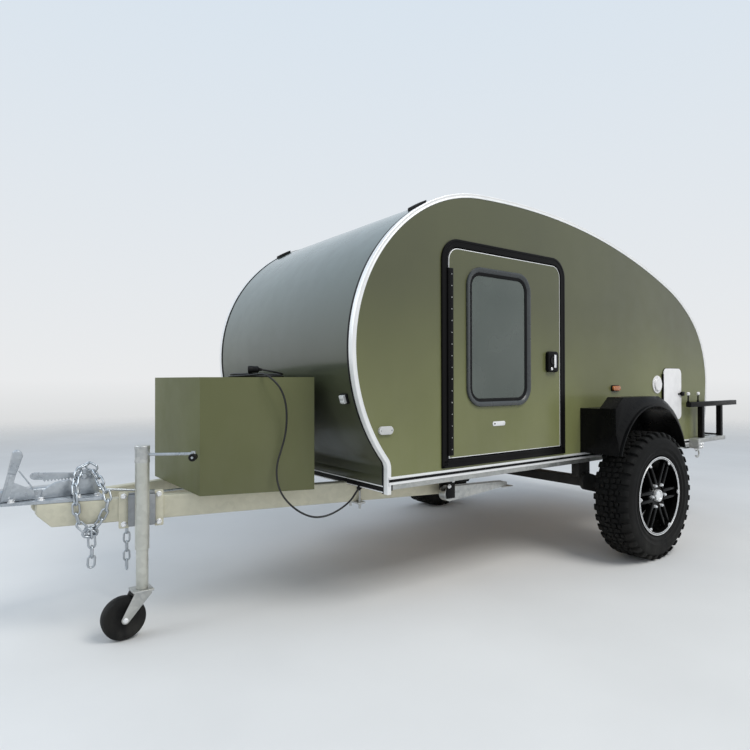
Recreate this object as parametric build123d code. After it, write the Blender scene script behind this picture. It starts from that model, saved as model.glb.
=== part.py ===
from build123d import *
import math
import os

# A teardrop trailer, standing on its jockey wheel. Millimetres and degrees.
# While it is drawn, X runs rearward from the wheel hubs, Y to the trailer's right and Z up
# from the ground. At the end every piece moves along X so that the origin is mid-length.

# Body shell
HALF_WIDTH = 750.0
FLOOR_Z = 600.0
WALL = 30.0
SKIN = 30.0
FLOOR_THICK = 25.0
FRONT_FOOT_X = -1830.0
KICK_Z = 672.0
APRON_DROP = 28.0
TAIL_FOOT_X = 1192.0
HATCH_X = 620.0
HATCH_GAP = 5.0
ROOF_FROM_Z = 900.0
BULKHEAD_X = 430.0
BULKHEAD_THICK = 18.0
COUNTER_Z = 950.0
COUNTER_DEPTH = 360.0

# Side profile above the kick: tangent arcs end at these places, columns x and z
PROFILE_KNOTS = [
    (-1844.0, 712.0),
    (-2020.0, 1159.0),
    (-1888.0, 1651.0),
    (-1229.0, 2026.0),
    (692.0, 1730.0),
    (1029.0, 1534.0),
    (1257.0, 987.0),
]

# Edge trim and sill strips
TRIM_PROUD = 3.0
TRIM_FACE = 19.0
TRIM_ROOF_LEG = 26.0
SILL_HEIGHT = 36.0
SILL_PROUD = 9.0

# Doors, one on each side, hinged at their front edge
DOOR_FRAME_FRONT_X = -1500.0
DOOR_FRAME_REAR_X = -525.0
DOOR_FRAME_TOP_Z = 1775.0
DOOR_FRAME_BOTTOM_Z = 645.0
DOOR_FRAME_RADIUS = 110.0
DOOR_FRAME_WIDTH = 40.0
DOOR_FRAME_PROUD = 10.0
DOOR_GAP = 6.0
DOOR_PROUD = 6.0
HINGE_PIN_RADIUS = 5.0
HINGE_SEAT = 0.3
HINGE_STRIP_WIDTH = 26.0
HINGE_LEAF = 4.0
WINDOW_FRONT_X = -1334.0
WINDOW_REAR_X = -842.0
WINDOW_TOP_Z = 1652.0
WINDOW_BOTTOM_Z = 938.0
WINDOW_RADIUS = 100.0
WINDOW_RING = 26.0
WINDOW_RING_PROUD = 12.0
GLASS_THICK = 8.0
LATCH_REAR_X = -611.0
LATCH_WIDTH = 92.0
LATCH_Z = 1177.0
LATCH_HEIGHT = 118.0
LATCH_PROUD = 26.0

# White access hatch on the left, behind the fender
ACCESS_FRONT_X = 604.0
ACCESS_REAR_X = 850.0
ACCESS_BOTTOM_Z = 789.0
ACCESS_TOP_Z = 1152.0
ACCESS_RADIUS = 40.0
ACCESS_PROUD = 8.0
ACCESS_REBATE = 16.0
ACCESS_SEAL = 3.0

# Chassis and drawbar
CHASSIS_DEPTH = 30.0
CHASSIS_BAR = 50.0
RAIL_INSET = 20.0
BEAM_DEPTH = 100.0
BEAM_WIDTH = 50.0
BEAM_FRONT_X = -3140.0
BEAM_REAR_X = -1300.0
BEAM_REAR_OUTER_Y = HALF_WIDTH - 195
BEAM_FRONT_OUTER_Y = 97.3
BEAM_CHAMFER = 55.0
CROSS_X = [-1700.0, -1150.0, -560.0, 300.0]

# Wheels and axle
WHEEL_RADIUS = 380.0
TYRE_WIDTH = 225.0
WHEEL_MID_Y = HALF_WIDTH + 192
RIM_RADIUS = 236.0
RIM_FACE_Y = WHEEL_MID_Y + 102
RIM_BARREL = 12.0
SPOKE_PAIRS = 6
SPOKE_WIDTH = 20.0
SPOKE_SPREAD = 16.0
SPOKE_LEAN = 5.0
RIM_RING = 20.0
CAP_RADIUS = 36.0
HUB_RADIUS = 62.0
STUB_RADIUS = 24.0
STUB_FIT = 0.1
DISC_DEPTH = 28.0
DISC_SET_IN = 12.0
DRUM_RADIUS = 150.0
DRUM_WALL = 8.0
DRUM_DEPTH = 78.0
DRUM_FACE_Y = WHEEL_MID_Y - 34
DRUM_CLEAR = 6.0
AXLE_TUBE = 60.0
AXLE_X = -285.0
AXLE_Z = 455.0
AXLE_HALF = HALF_WIDTH - 28
ARM_THICK = 24.0
ARM_PIVOT_RADIUS = 52.0
ARM_HUB_RADIUS = 44.0
HANGER_HALF = 60.0
ROD_BRACKET_HALF = 25.0
LUG_COUNT = 14
LUG_DEPTH = 12.0
LUG_GROOVE = 12.0
SHOULDER_LUG = 52.0
SIDEWALL_SLOPE = 14.0
SIDEWALL_TOP = 330.0
BEAD_OUTER = 262.0
BEAD_SLOPE = 20.0

# Fenders: a ledge along the wall, and a faceted hood outside it with a round arch
FENDER_LEDGE_Y = HALF_WIDTH + 130
FENDER_SIDE_Y = HALF_WIDTH + 232
FENDER_OUTER_Y = HALF_WIDTH + 250
FENDER_LIP = 13.0
FENDER_FOOT_Z = 640.0
FENDER_LEDGE_Z = 905.0
FENDER_TOP_Z = 972.0
FENDER_WALL = 8.0
FLARE_FOOT_RADIUS = 440.0
FLARE_EDGE_RADIUS = 410.0
ARCH_RADIUS = 378.0
ARCH_X = 12.0
ARCH_Z = 536.0
# The hood seen from the side: columns x, z
HOOD_CORNERS = [
    (-366.0, FENDER_FOOT_Z),
    (-366.0, 908.0),
    (-285.0, FENDER_TOP_Z),
    (105.0, FENDER_TOP_Z),
    (202.0, 933.0),
    (292.0, 873.0),
    (360.0, 804.0),
    (392.0, 757.0),
    (392.0, FENDER_FOOT_Z),
]

# Front box on the drawbar
BOX_REAR_X = -2062.0
BOX_FRONT_X = -2545.0
BOX_REAR_HALF = 495.0
BOX_FRONT_HALF = 336.0
BOX_TOP_Z = 1090.0
BOX_WALL = 12.0
BOX_DOOR_MARGIN = 45.0
BOX_DOOR_LAP = 15.0
BOX_DOOR_THICK = 10.0

# Coupler
NOSE_X = -3500.0
BALL_RADIUS = 25.0
BALL_FIT = 0.5
BALL_BACK = 45.0
BALL_Z = 600.0
HEAD_LENGTH = 110.0
HEAD_HALF = 38.0
HEAD_BELOW = 22.0
HEAD_ABOVE = 42.0
COUPLER_FRONT_X = -3262.0
COUPLER_REAR_X = -2890.0
COUPLER_PLATE = 12.0
COUPLER_HALF = 36.0
COUPLER_TOP_Z = 628.0
DRAWTUBE_RADIUS = 24.0
BELLOWS_RADIUS = 34.0
BELLOWS_LENGTH = 72.0
# Outlines seen from the left side: columns x, z
HEAD_HANDLE = [(-3475, 636), (-3425, 636), (-3325, 684), (-3325, 698), (-3440, 662), (-3475, 652)]
LEVER = [(-3262, 582), (-3230, 582), (-3208, 680), (-3182, 766), (-3196, 788), (-3216, 782), (-3242, 690)]
LEVER_GRIP = [(-3233, 712), (-3203, 704), (-3180, 766), (-3196, 792), (-3219, 785)]
LEVER_BRACKET = [(-3232, 582), (-3228, 664), (-3134, 634), (-3134, 582)]
TOOTHED_BAR = [(-3156, 680), (-3144, 694), (-2962, 678), (-2962, 652), (-3096, 652), (-3122, 664)]
PIVOT_PLATE = [(-2998, 582), (-2894, 582), (-2900, 632), (-2930, 690), (-2978, 690), (-2998, 650)]
LEVER_Y = -46.0
LEVER_THICK = 12.0
STRUT = [(-3196.0, 706.0), (-3144.0, 626.0)]
STRUT_RADIUS = 3.0
BAR_PIVOT = (-2954.0, 662.0)
BAR_PIVOT_RADIUS = 18.0
GRIP_THICK = 28.0
BRAKE_ROD_RADIUS = 5.0
BRAKE_ROD = [(COUPLER_REAR_X, 592.0), (-2600.0, 550.0), (-345.0, 550.0)]

# Safety chains: places along the line of the links, columns x, y, z
CHAIN_BAR = 9.0
CHAIN_PITCH = 40.0
CHAIN_WIDTH = 32.0
CHAIN_LAP = 1.0
CHAIN_LOOP = [
    (-2948, -164, 446), (-2983, -158, 470), (-3000, -153, 515), (-3002, -153, 560),
    (-3004, -144, 604), (-2997, -112, 642), (-2982, -82, 682), (-2958, -64, 710),
    (-2932, -68, 706), (-2912, -98, 666), (-2898, -140, 624), (-2886, -176, 586),
    (-2890, -182, 545), (-2906, -178, 505), (-2928, -170, 468), (-2946, -164, 446),
]
CHAIN_TAIL = [(-2947, -164, 440), (-2944, -164, 360), (-2946, -164, 285)]
CHAIN_EYE = (-2997, -112)
CHAIN_EYE_TOP_Z = 640.0
CHAIN_EYE_HALF = (5.0, 14.0)
RIGHT_CHAIN_X = -2726.0
RIGHT_EYE_HALF = (12.0, 5.0)
RIGHT_EYE_DROP = 24.0
RIGHT_CHAIN_LOW_Z = 150.0

# Jockey wheel
JOCKEY_X = -2765.0
JOCKEY_TUBE_RADIUS = 29.0
JOCKEY_LEG_RADIUS = 25.0
JOCKEY_TOP_Z = 800.0
JOCKEY_TUBE_BOTTOM_Z = 362.0
JOCKEY_FORK_Z = 196.0
JOCKEY_TRAIL = 75.0
JOCKEY_WHEEL_RADIUS = 88.0
JOCKEY_WHEEL_WIDTH = 62.0
JOCKEY_WHEEL_SIDES = 24
JOCKEY_AXLE_RADIUS = 8.0
JOCKEY_FORK_PLATE = 8.0
JOCKEY_CHEEK = 5.0
CRANK_DROP = 39.0
CRANK_RADIUS = 6.0
CRANK_GRIP_DROP = 52.0
CRANK_GRIP_RADIUS = 15.0
CRANK_GRIP_OUT = 32.0
CRANK_GRIP_IN = 10.0
CRANK_LENGTH = 212.0
CRANK_TURN = 30.0
JOCKEY_RING_HEIGHT = 120.0
# Clamp plates on the beam's side: length, height, thickness
JOCKEY_FLANGE = (200.0, 152.0, 6.0)
JOCKEY_SADDLE = (128.0, 140.0, 22.0)

# Corner steadies, folded up, columns: name, hinge x, side, direction the leg folds towards
STEADY_HINGE_Z = 484.0
STEADY_LEG = 430.0
STEADY_Y = HALF_WIDTH - 140
STEADY_EYE = 38.0
STEADY_TIP = 13.0
STEADY_RISE = 8.0
STEADY_HALF = 22.0
STEADY_SHEET = 4.0
STEADY_PIN_RADIUS = 8.0
STEADY_PIN_FIT = 0.05
STEADY_FOOT = 40.0
STEADY_CHEEK = 6.0
STEADY_CHEEK_GAP = 3.0
STEADY_BRACKET_HALF = 28.0
STEADIES = [
    ("front_left", -1330.0, -1, 1),
    ("front_right", -1330.0, 1, 1),
    ("rear_left", 1010.0, -1, -1),
    ("rear_right", 1010.0, 1, -1),
]

# Trailer lead: it leaves a gland under the front apron, hangs in a bight beside the box, climbs
# the box's left side and lies in a loose coil with its plug on the box's top
LEAD_RADIUS = 4.5
LEAD_ROUTE = [
    (-1838, -531, 552),
    (-1859, -536, 536),
    (-1890, -546, 507),
    (-1944, -542, 473),
    (-2011, -535, 448),
    (-2078, -522, 445),
    (-2136, -504, 471),
    (-2186, -492, 512),
    (-2225, -480, 564),
    (-2242, -469, 627),
    (-2239, -462, 693),
    (-2220, -469, 759),
    (-2202, -477, 827),
    (-2200, -488, 904),
    (-2209, -494, 977),
    (-2230, -492, 1035),
    (-2256, -477, 1073),
    (-2281, -451, 1100),
    (-2292, -417, 1107),
    (-2315, -374, 1100),
]
COIL_X = -2240.0
COIL_Y = -259.0
COIL_OUTER = 136.0
COIL_INNER = 100.0
COIL_HEIGHT = 18.0
PLUG_RADIUS = 17.0
PLUG_LENGTH = 62.0
PLUG_X = -2297.0
PLUG_Y = -360.0
GLAND_RADIUS = 11.0
GLAND_LENGTH = 18.0

# Side marker lamps, each on both sides: x, z, length, height, depth
AMBER_MARKER = (6.0, 1020.0, 92.0, 40.0, 18.0)
WHITE_MARKER = (-1838.0, 850.0, 80.0, 38.0, 10.0)
FRONT_LAMP_Y = HALF_WIDTH - 102
FRONT_LAMP_Z = 992.0
FRONT_LAMP_SIZE = 46.0
FRONT_LAMP_DEPTH = 24.0
FRONT_LAMP_REACH = 80.0
TAIL_LAMP_Y = HALF_WIDTH - 60
TAIL_LAMP_WIDTH = 150.0
TAIL_LAMP_HEIGHT = 52.0
INLET_X = 527.0
INLET_Z = 1040.0
INLET_RADIUS = 61.0

# Rear bumper and side racks
BUMPER_X = 1330.0
BUMPER_DEPTH = 60.0
BUMPER_HEIGHT = 30.0
BUMPER_Z = FLOOR_Z + 15
BUMPER_REACH = 30.0
BUMPER_ARM_X = 960.0
BUMPER_ARM = 50.0
BUMPER_ARM_Z = FLOOR_Z - 30
BUMPER_ARM_LAP = 10.0
# Bracket at the front of each side arm: length, depth under the arm
BUMPER_BRACKET = (70.0, 44.0)
RACK_Z = 893.0
RACK_FRONT_X = 870.0
RACK_REAR_X = 1620.0
RACK_Y = HALF_WIDTH + 50
RACK_BAR = 36.0
RACK_POSTS = [1062.0, 1360.0]

# Feet for a roof rack
ROOF_FOOT_X = -1600.0
ROOF_FOOT_Y = HALF_WIDTH - 60
ROOF_FOOT_LENGTH = 80.0
ROOF_FOOT_HEIGHT = 50.0
ROOF_FOOT_THICK = 14.0
ROOF_FOOT_WIDTH = 50.0

# Bolts and plates under the front chassis bar
CLAMP_HALF = 22.0
CLAMP_PLATE = 8.0
CLAMP_BOLT = 6.0
CLAMP_BOLT_TAIL = 34.0
CLAMP_NUT = 12.0
CLAMP_OUT = 14.0
CLAMP_LAP = 18.0

RUN = 0.3

os.makedirs("parts", exist_ok=True)


def block(x0, x1, y0, y1, z0, z1):
    """A plain bar or plate between two corners."""
    middle = Pos((x0 + x1) / 2, (y0 + y1) / 2, (z0 + z1) / 2)
    return middle * Box(abs(x1 - x0), abs(y1 - y0), abs(z1 - z0))


def slab(sketch, y0, y1):
    """A sketch drawn in X and Z, made solid from y0 to y1."""
    return extrude(Plane.XZ.offset(-y0) * sketch, amount=-(y1 - y0))


def rounded(x0, x1, z0, z1, radius, foot_radius=None):
    """A panel outline with rounded top corners, and rounded or square feet."""
    sketch = Pos((x0 + x1) / 2, (z0 + z1) / 2) * Rectangle(x1 - x0, z1 - z0)
    tops = sketch.vertices().group_by(Axis.Y)[-1]
    sketch = fillet(tops, radius)
    if foot_radius:
        feet = sketch.vertices().group_by(Axis.Y)[0]
        sketch = fillet(feet, foot_radius)
    return sketch


def rod(start, end, radius):
    """A round bar between two points."""
    axis = Vector(*end) - Vector(*start)
    plane = Plane(origin=start, z_dir=axis)
    return extrude(plane * Circle(radius), amount=axis.length)


def other_side(piece):
    """The same piece on the other side of the trailer."""
    return mirror(piece, about=Plane.XZ)


def body_outline():
    """The side of the body: a kick at the front, tangent arcs over the roof, a flat bottom."""
    edges = [Line((FRONT_FOOT_X, FLOOR_Z), (FRONT_FOOT_X, KICK_Z))]
    knots = PROFILE_KNOTS + [(TAIL_FOOT_X, FLOOR_Z)]
    for knot in knots:
        last = edges[-1]
        edges.append(TangentArc(last @ 1, knot, tangent=last % 1))
    edges.append(Line((TAIL_FOOT_X, FLOOR_Z), (FRONT_FOOT_X, FLOOR_Z)))
    return make_face(Wire(edges))


OUTLINE = body_outline()
INNER_OUTLINE = offset(OUTLINE, -SKIN, kind=Kind.INTERSECTION)
INSIDE_Y = HALF_WIDTH - WALL
BIG = 6000.0


def region(x0, x1, z0, z1):
    """A plain rectangle in X and Z."""
    return Pos((x0 + x1) / 2, (z0 + z1) / 2) * Rectangle(x1 - x0, z1 - z0)


def door_opening():
    """The hole in a side wall that the door frame fills."""
    return rounded(DOOR_FRAME_FRONT_X + DOOR_GAP, DOOR_FRAME_REAR_X - DOOR_GAP,
                   DOOR_FRAME_BOTTOM_Z + DOOR_GAP, DOOR_FRAME_TOP_Z - DOOR_GAP,
                   DOOR_FRAME_RADIUS - DOOR_GAP)


def access_outline(inset):
    """The white hatch's outline, smaller all round by inset."""
    return rounded(ACCESS_FRONT_X + inset, ACCESS_REAR_X - inset, ACCESS_BOTTOM_Z + inset,
                   ACCESS_TOP_Z - inset, ACCESS_RADIUS - inset, ACCESS_RADIUS - inset)


def side_walls():
    left = slab(OUTLINE - door_opening(), -HALF_WIDTH, -INSIDE_Y)
    right = other_side(left)
    access = access_outline(ACCESS_REBATE)
    left -= slab(access, -HALF_WIDTH - 1, -INSIDE_Y + 1)
    return left, right


def shell_ring():
    """The bent sheet between the side walls, from the floor round to the floor."""
    above_floor = region(-BIG, BIG, FLOOR_Z + FLOOR_THICK, BIG)
    return (OUTLINE - INNER_OUTLINE) & above_floor


def roof_skin():
    front = slab(shell_ring() & region(-BIG, HATCH_X, 0, BIG), -INSIDE_Y, INSIDE_Y)
    apron = block(FRONT_FOOT_X, FRONT_FOOT_X + SKIN, -HALF_WIDTH, HALF_WIDTH,
                  FLOOR_Z - APRON_DROP, FLOOR_Z)
    return front, apron


def roof_height(x):
    """Height of the outer skin over a place x."""
    line = Line((x, ROOF_FROM_Z), (x, BIG))
    return max(v.Y for v in (OUTLINE & line).vertices())


def hatch_hinge_axis():
    return HATCH_X + HATCH_GAP / 2, roof_height(HATCH_X) + HINGE_PIN_RADIUS + 1


def hinge_leaf(x0, x1, width):
    """A thin strip that lies on the skin from x0 to x1."""
    on_skin = (offset(OUTLINE, HINGE_LEAF, kind=Kind.INTERSECTION) - OUTLINE) & region(
        x0, x1, ROOF_FROM_Z, BIG)
    return slab(on_skin, -width, width)


def rear_hatch():
    width = INSIDE_Y - HATCH_GAP
    behind = region(HATCH_X + HATCH_GAP, BIG, FLOOR_Z + FLOOR_THICK + HATCH_GAP, BIG)
    x, z = hatch_hinge_axis()
    near = x + HINGE_PIN_RADIUS + HINGE_SEAT
    knuckle = block(near, near + 10, -width, width, z - 10, z)
    knuckle -= slab(OUTLINE, -width, width)
    return slab(shell_ring() & behind, -width, width) + hinge_leaf(near, near + 30, width) + knuckle


def hatch_hinge():
    """Barrel along the top of the hatch, with the leaf that lies on the roof."""
    width = INSIDE_Y - HATCH_GAP
    x, z = hatch_hinge_axis()
    return hinge_leaf(x - 35, x, width) + rod((x, -width, z), (x, width, z), HINGE_PIN_RADIUS)


def edge_trims():
    """Aluminium angle round the edge of each side, on the face and on the roof."""
    outside = offset(OUTLINE, TRIM_PROUD, kind=Kind.INTERSECTION)
    open_bottom = region(-BIG, BIG, FLOOR_Z + SILL_HEIGHT, BIG)
    face_leg = slab((outside - offset(OUTLINE, -TRIM_FACE, kind=Kind.INTERSECTION)) & open_bottom,
                    -HALF_WIDTH - TRIM_PROUD, -HALF_WIDTH)
    roof_leg = slab((outside - OUTLINE) & open_bottom, -HALF_WIDTH, -HALF_WIDTH + TRIM_ROOF_LEG)
    sill = block(FRONT_FOOT_X, TAIL_FOOT_X, -HALF_WIDTH - SILL_PROUD, -HALF_WIDTH,
                 FLOOR_Z, FLOOR_Z + SILL_HEIGHT)
    left = face_leg + roof_leg + sill
    return Compound(children=[left, other_side(left)])


def door_frame():
    outer = rounded(DOOR_FRAME_FRONT_X, DOOR_FRAME_REAR_X, DOOR_FRAME_BOTTOM_Z, DOOR_FRAME_TOP_Z,
                    DOOR_FRAME_RADIUS)
    inner = rounded(DOOR_FRAME_FRONT_X + DOOR_FRAME_WIDTH, DOOR_FRAME_REAR_X - DOOR_FRAME_WIDTH,
                    DOOR_FRAME_BOTTOM_Z + DOOR_FRAME_WIDTH, DOOR_FRAME_TOP_Z - DOOR_FRAME_WIDTH,
                    DOOR_FRAME_RADIUS - DOOR_FRAME_WIDTH)
    flange = slab(outer - inner, -HALF_WIDTH - DOOR_FRAME_PROUD, -HALF_WIDTH)
    sleeve = slab(door_opening() - inner, -HALF_WIDTH, -INSIDE_Y)
    x, y = door_hinge_axis()
    pin = rod((x, y, DOOR_FRAME_BOTTOM_Z + 60), (x, y, DOOR_FRAME_TOP_Z - DOOR_FRAME_RADIUS - 40),
              HINGE_PIN_RADIUS)
    return flange + sleeve + pin


def door_hinge_axis():
    x = DOOR_FRAME_FRONT_X + DOOR_FRAME_WIDTH - 2
    y = -HALF_WIDTH - DOOR_FRAME_PROUD - 3
    return x, y


def door_leaf():
    clear = DOOR_FRAME_WIDTH + DOOR_GAP
    leaf = rounded(DOOR_FRAME_FRONT_X + clear, DOOR_FRAME_REAR_X - clear,
                   DOOR_FRAME_BOTTOM_Z + clear, DOOR_FRAME_TOP_Z - clear,
                   DOOR_FRAME_RADIUS - clear)
    hole = rounded(WINDOW_FRONT_X + WINDOW_RING / 2, WINDOW_REAR_X - WINDOW_RING / 2,
                   WINDOW_BOTTOM_Z + WINDOW_RING / 2, WINDOW_TOP_Z - WINDOW_RING / 2,
                   WINDOW_RADIUS - WINDOW_RING / 2, WINDOW_RADIUS - WINDOW_RING / 2)
    panel = slab(leaf - hole, -HALF_WIDTH - DOOR_PROUD, -INSIDE_Y)
    x, y = door_hinge_axis()
    strip = block(x + HINGE_PIN_RADIUS + HINGE_SEAT, x + HINGE_PIN_RADIUS + HINGE_STRIP_WIDTH,
                  y - 3, -HALF_WIDTH - DOOR_PROUD,
                  DOOR_FRAME_BOTTOM_Z + 60, DOOR_FRAME_TOP_Z - DOOR_FRAME_RADIUS - 40)
    return panel + strip


def window_glass():
    inset = WINDOW_RING / 2 + RUN
    pane = rounded(WINDOW_FRONT_X + inset, WINDOW_REAR_X - inset, WINDOW_BOTTOM_Z + inset,
                   WINDOW_TOP_Z - inset, WINDOW_RADIUS - inset, WINDOW_RADIUS - inset)
    back = -HALF_WIDTH + 4
    return slab(pane, back - GLASS_THICK, back)


def door_fittings():
    """Window ring and latch plate, which stand on the door's outer face."""
    outer = rounded(WINDOW_FRONT_X, WINDOW_REAR_X, WINDOW_BOTTOM_Z, WINDOW_TOP_Z,
                    WINDOW_RADIUS, WINDOW_RADIUS)
    inner = rounded(WINDOW_FRONT_X + WINDOW_RING, WINDOW_REAR_X - WINDOW_RING,
                    WINDOW_BOTTOM_Z + WINDOW_RING, WINDOW_TOP_Z - WINDOW_RING,
                    WINDOW_RADIUS - WINDOW_RING, WINDOW_RADIUS - WINDOW_RING)
    face = -HALF_WIDTH - DOOR_PROUD
    ring = slab(outer - inner, face - WINDOW_RING_PROUD, face)
    latch = rounded(LATCH_REAR_X - LATCH_WIDTH, LATCH_REAR_X, LATCH_Z - LATCH_HEIGHT / 2,
                    LATCH_Z + LATCH_HEIGHT / 2, 20, 20)
    return Compound(children=[ring, slab(latch, face - LATCH_PROUD, face)])


def access_hatch():
    """White lid that laps the wall, with a plug that reaches into the hole."""
    face = -HALF_WIDTH - ACCESS_SEAL
    lid = slab(access_outline(0), face - ACCESS_PROUD, face)
    return lid + slab(access_outline(ACCESS_REBATE + DOOR_GAP), face, -HALF_WIDTH + 12)


def access_hinge_axis():
    x = ACCESS_FRONT_X - HINGE_PIN_RADIUS - HINGE_SEAT
    return x, -HALF_WIDTH - ACCESS_SEAL - ACCESS_PROUD / 2


def access_hinge():
    """Fixed hinge barrel and its foot at the white hatch's front edge."""
    x, y = access_hinge_axis()
    z0, z1 = ACCESS_BOTTOM_Z + ACCESS_RADIUS, ACCESS_TOP_Z - ACCESS_RADIUS
    foot = block(x - 9, x, y, -HALF_WIDTH, z0, z1)
    return foot + rod((x, y, z0), (x, y, z1), HINGE_PIN_RADIUS)


def interior():
    floor = block(FRONT_FOOT_X, TAIL_FOOT_X, -INSIDE_Y, INSIDE_Y, FLOOR_Z, FLOOR_Z + FLOOR_THICK)
    cut = INNER_OUTLINE & region(BULKHEAD_X, BULKHEAD_X + BULKHEAD_THICK,
                                 FLOOR_Z + FLOOR_THICK, BIG)
    bulkhead = slab(cut, -INSIDE_Y, INSIDE_Y)
    counter = block(BULKHEAD_X + BULKHEAD_THICK, BULKHEAD_X + BULKHEAD_THICK + COUNTER_DEPTH,
                    -INSIDE_Y, INSIDE_Y, COUNTER_Z - 20, COUNTER_Z)
    return floor, bulkhead, counter


def chassis():
    z0 = FLOOR_Z - CHASSIS_DEPTH
    rear = TAIL_FOOT_X
    front = FRONT_FOOT_X + SKIN
    frame = None
    for side in (-1, 1):
        outer = side * (HALF_WIDTH - RAIL_INSET)
        rail = block(front, rear, outer, outer - side * CHASSIS_BAR, z0, FLOOR_Z)
        frame = rail if frame is None else frame + rail
    inner = HALF_WIDTH - RAIL_INSET - CHASSIS_BAR
    for x in [front] + CROSS_X + [rear - CHASSIS_BAR]:
        frame += block(x, x + CHASSIS_BAR, -inner, inner, z0, FLOOR_Z)
    return frame


BEAM_TOP_Z = FLOOR_Z - CHASSIS_DEPTH
BEAM_SLOPE = (BEAM_REAR_OUTER_Y - BEAM_FRONT_OUTER_Y) / (BEAM_REAR_X - BEAM_FRONT_X)
BEAM_ANGLE = math.atan(BEAM_SLOPE)


def beam_outer_y(x):
    return BEAM_REAR_OUTER_Y - (BEAM_REAR_X - x) * BEAM_SLOPE


def drawbar():
    """Two box beams that close towards the coupler, with the front cross plate."""
    beams = []
    for side in (-1, 1):
        width = BEAM_WIDTH / math.cos(BEAM_ANGLE)
        corners = [
            (BEAM_FRONT_X, side * beam_outer_y(BEAM_FRONT_X)),
            (BEAM_REAR_X, side * beam_outer_y(BEAM_REAR_X)),
            (BEAM_REAR_X, side * (beam_outer_y(BEAM_REAR_X) - width)),
            (BEAM_FRONT_X, side * (beam_outer_y(BEAM_FRONT_X) - width)),
        ]
        plan = make_face(Polyline(corners, close=True))
        beam = extrude(Plane.XY.offset(BEAM_TOP_Z - BEAM_DEPTH) * plan, amount=BEAM_DEPTH)
        wedge = make_face(Polyline([
            (BEAM_FRONT_X - 1, BEAM_TOP_Z - BEAM_DEPTH - 1),
            (BEAM_FRONT_X + BEAM_CHAMFER, BEAM_TOP_Z - BEAM_DEPTH - 1),
            (BEAM_FRONT_X - 1, BEAM_TOP_Z - BEAM_DEPTH + BEAM_CHAMFER),
        ], close=True))
        beam -= slab(wedge, -HALF_WIDTH, HALF_WIDTH)
        beams.append(beam)
    return Compound(children=beams)


def axle():
    """Square axle tube, its hangers, the trailing arms and the hub stubs."""
    half = AXLE_TUBE / 2
    tube = block(AXLE_X - half, AXLE_X + half, -AXLE_HALF, AXLE_HALF, AXLE_Z - half, AXLE_Z + half)
    for side in (-1, 1):
        y = side * AXLE_HALF
        tube += block(AXLE_X - HANGER_HALF, AXLE_X + HANGER_HALF, y, y - side * CHASSIS_BAR,
                      AXLE_Z + half,
                      FLOOR_Z - CHASSIS_DEPTH)
    rod_x, rod_z = BRAKE_ROD[-1]
    tube += block(rod_x, AXLE_X - half, -ROD_BRACKET_HALF, ROD_BRACKET_HALF, AXLE_Z - 20,
                  rod_z + 12)
    return tube


def brake_rod():
    """Rod from the coupler down under the box, and back to the bracket on the axle."""
    (x0, z0), (x1, z1), (x2, z2) = BRAKE_ROD
    knee = Pos(x1, 0, z1) * Sphere(BRAKE_ROD_RADIUS)
    sloped = rod((x0 - 10, 0, z0), (x1, 0, z1), BRAKE_ROD_RADIUS)
    sloped -= block(x0 - 30, x0, -30, 30, z0 - 30, z0 + 30)
    return sloped + knee + rod((x1, 0, z1), (x2, 0, z2), BRAKE_ROD_RADIUS)


def trailing_arm(side):
    y0 = side * AXLE_HALF
    y1 = side * (AXLE_HALF + ARM_THICK)
    with_ends = make_hull(
        (Pos(AXLE_X, AXLE_Z) * Circle(ARM_PIVOT_RADIUS)).edges()
        + (Pos(0, WHEEL_RADIUS) * Circle(ARM_HUB_RADIUS)).edges())
    arm = slab(with_ends, min(y0, y1), max(y0, y1))
    stub = rod((0, y1, WHEEL_RADIUS), (0, side * (RIM_FACE_Y - DISC_SET_IN - RUN), WHEEL_RADIUS),
               STUB_RADIUS)
    plate_y = side * (DRUM_FACE_Y - DRUM_DEPTH + DRUM_WALL)
    plate = rod((0, plate_y, WHEEL_RADIUS), (0, plate_y + side * DRUM_WALL, WHEEL_RADIUS),
                DRUM_RADIUS - DRUM_WALL - DRUM_CLEAR)
    return arm + stub + plate


def drum(side):
    """Brake drum and hub, bolted to the back of the wheel's disc and turning with it."""
    face = side * DRUM_FACE_Y
    disc = side * (RIM_FACE_Y - DISC_SET_IN - DISC_DEPTH)
    back = side * (DRUM_FACE_Y - DRUM_DEPTH)
    piece = rod((0, face - side * DRUM_WALL, WHEEL_RADIUS), (0, face, WHEEL_RADIUS), DRUM_RADIUS)
    wall = rod((0, back, WHEEL_RADIUS), (0, face, WHEEL_RADIUS), DRUM_RADIUS)
    wall -= rod((0, back - side, WHEEL_RADIUS), (0, face + side, WHEEL_RADIUS), DRUM_RADIUS - DRUM_WALL)
    hub = rod((0, face - side * DRUM_WALL, WHEEL_RADIUS), (0, disc, WHEEL_RADIUS), HUB_RADIUS)
    return piece + wall + hub


def many_sided(radius, offset_y):
    """A face with two sides for each lug, flat at the bottom, at a place across the tyre."""
    sides = 2 * LUG_COUNT
    corner = radius / math.cos(math.pi / sides)
    points = []
    for number in range(sides):
        angle = (number + 0.5) * 2 * math.pi / sides
        points.append((corner * math.sin(angle), offset_y, -corner * math.cos(angle)))
    return make_face(Polyline(points, close=True))


def lug_row(y0, y1, stagger):
    """A row of lugs across y0 to y1: every second flat of the tread stands proud."""
    sides = 2 * LUG_COUNT
    widen = 1 / math.cos(math.pi / sides)
    points = []
    for number in range(sides):
        proud = (number + stagger) % 2 == 0
        radius = WHEEL_RADIUS * widen if proud else (WHEEL_RADIUS - LUG_DEPTH) * widen
        for corner in (number - 0.5, number + 0.5):
            angle = corner * 2 * math.pi / sides
            points.append((radius * math.sin(angle), y0, -radius * math.cos(angle)))
    return extrude(make_face(Polyline(points, close=True)), amount=y1 - y0, dir=(0, 1, 0))


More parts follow.
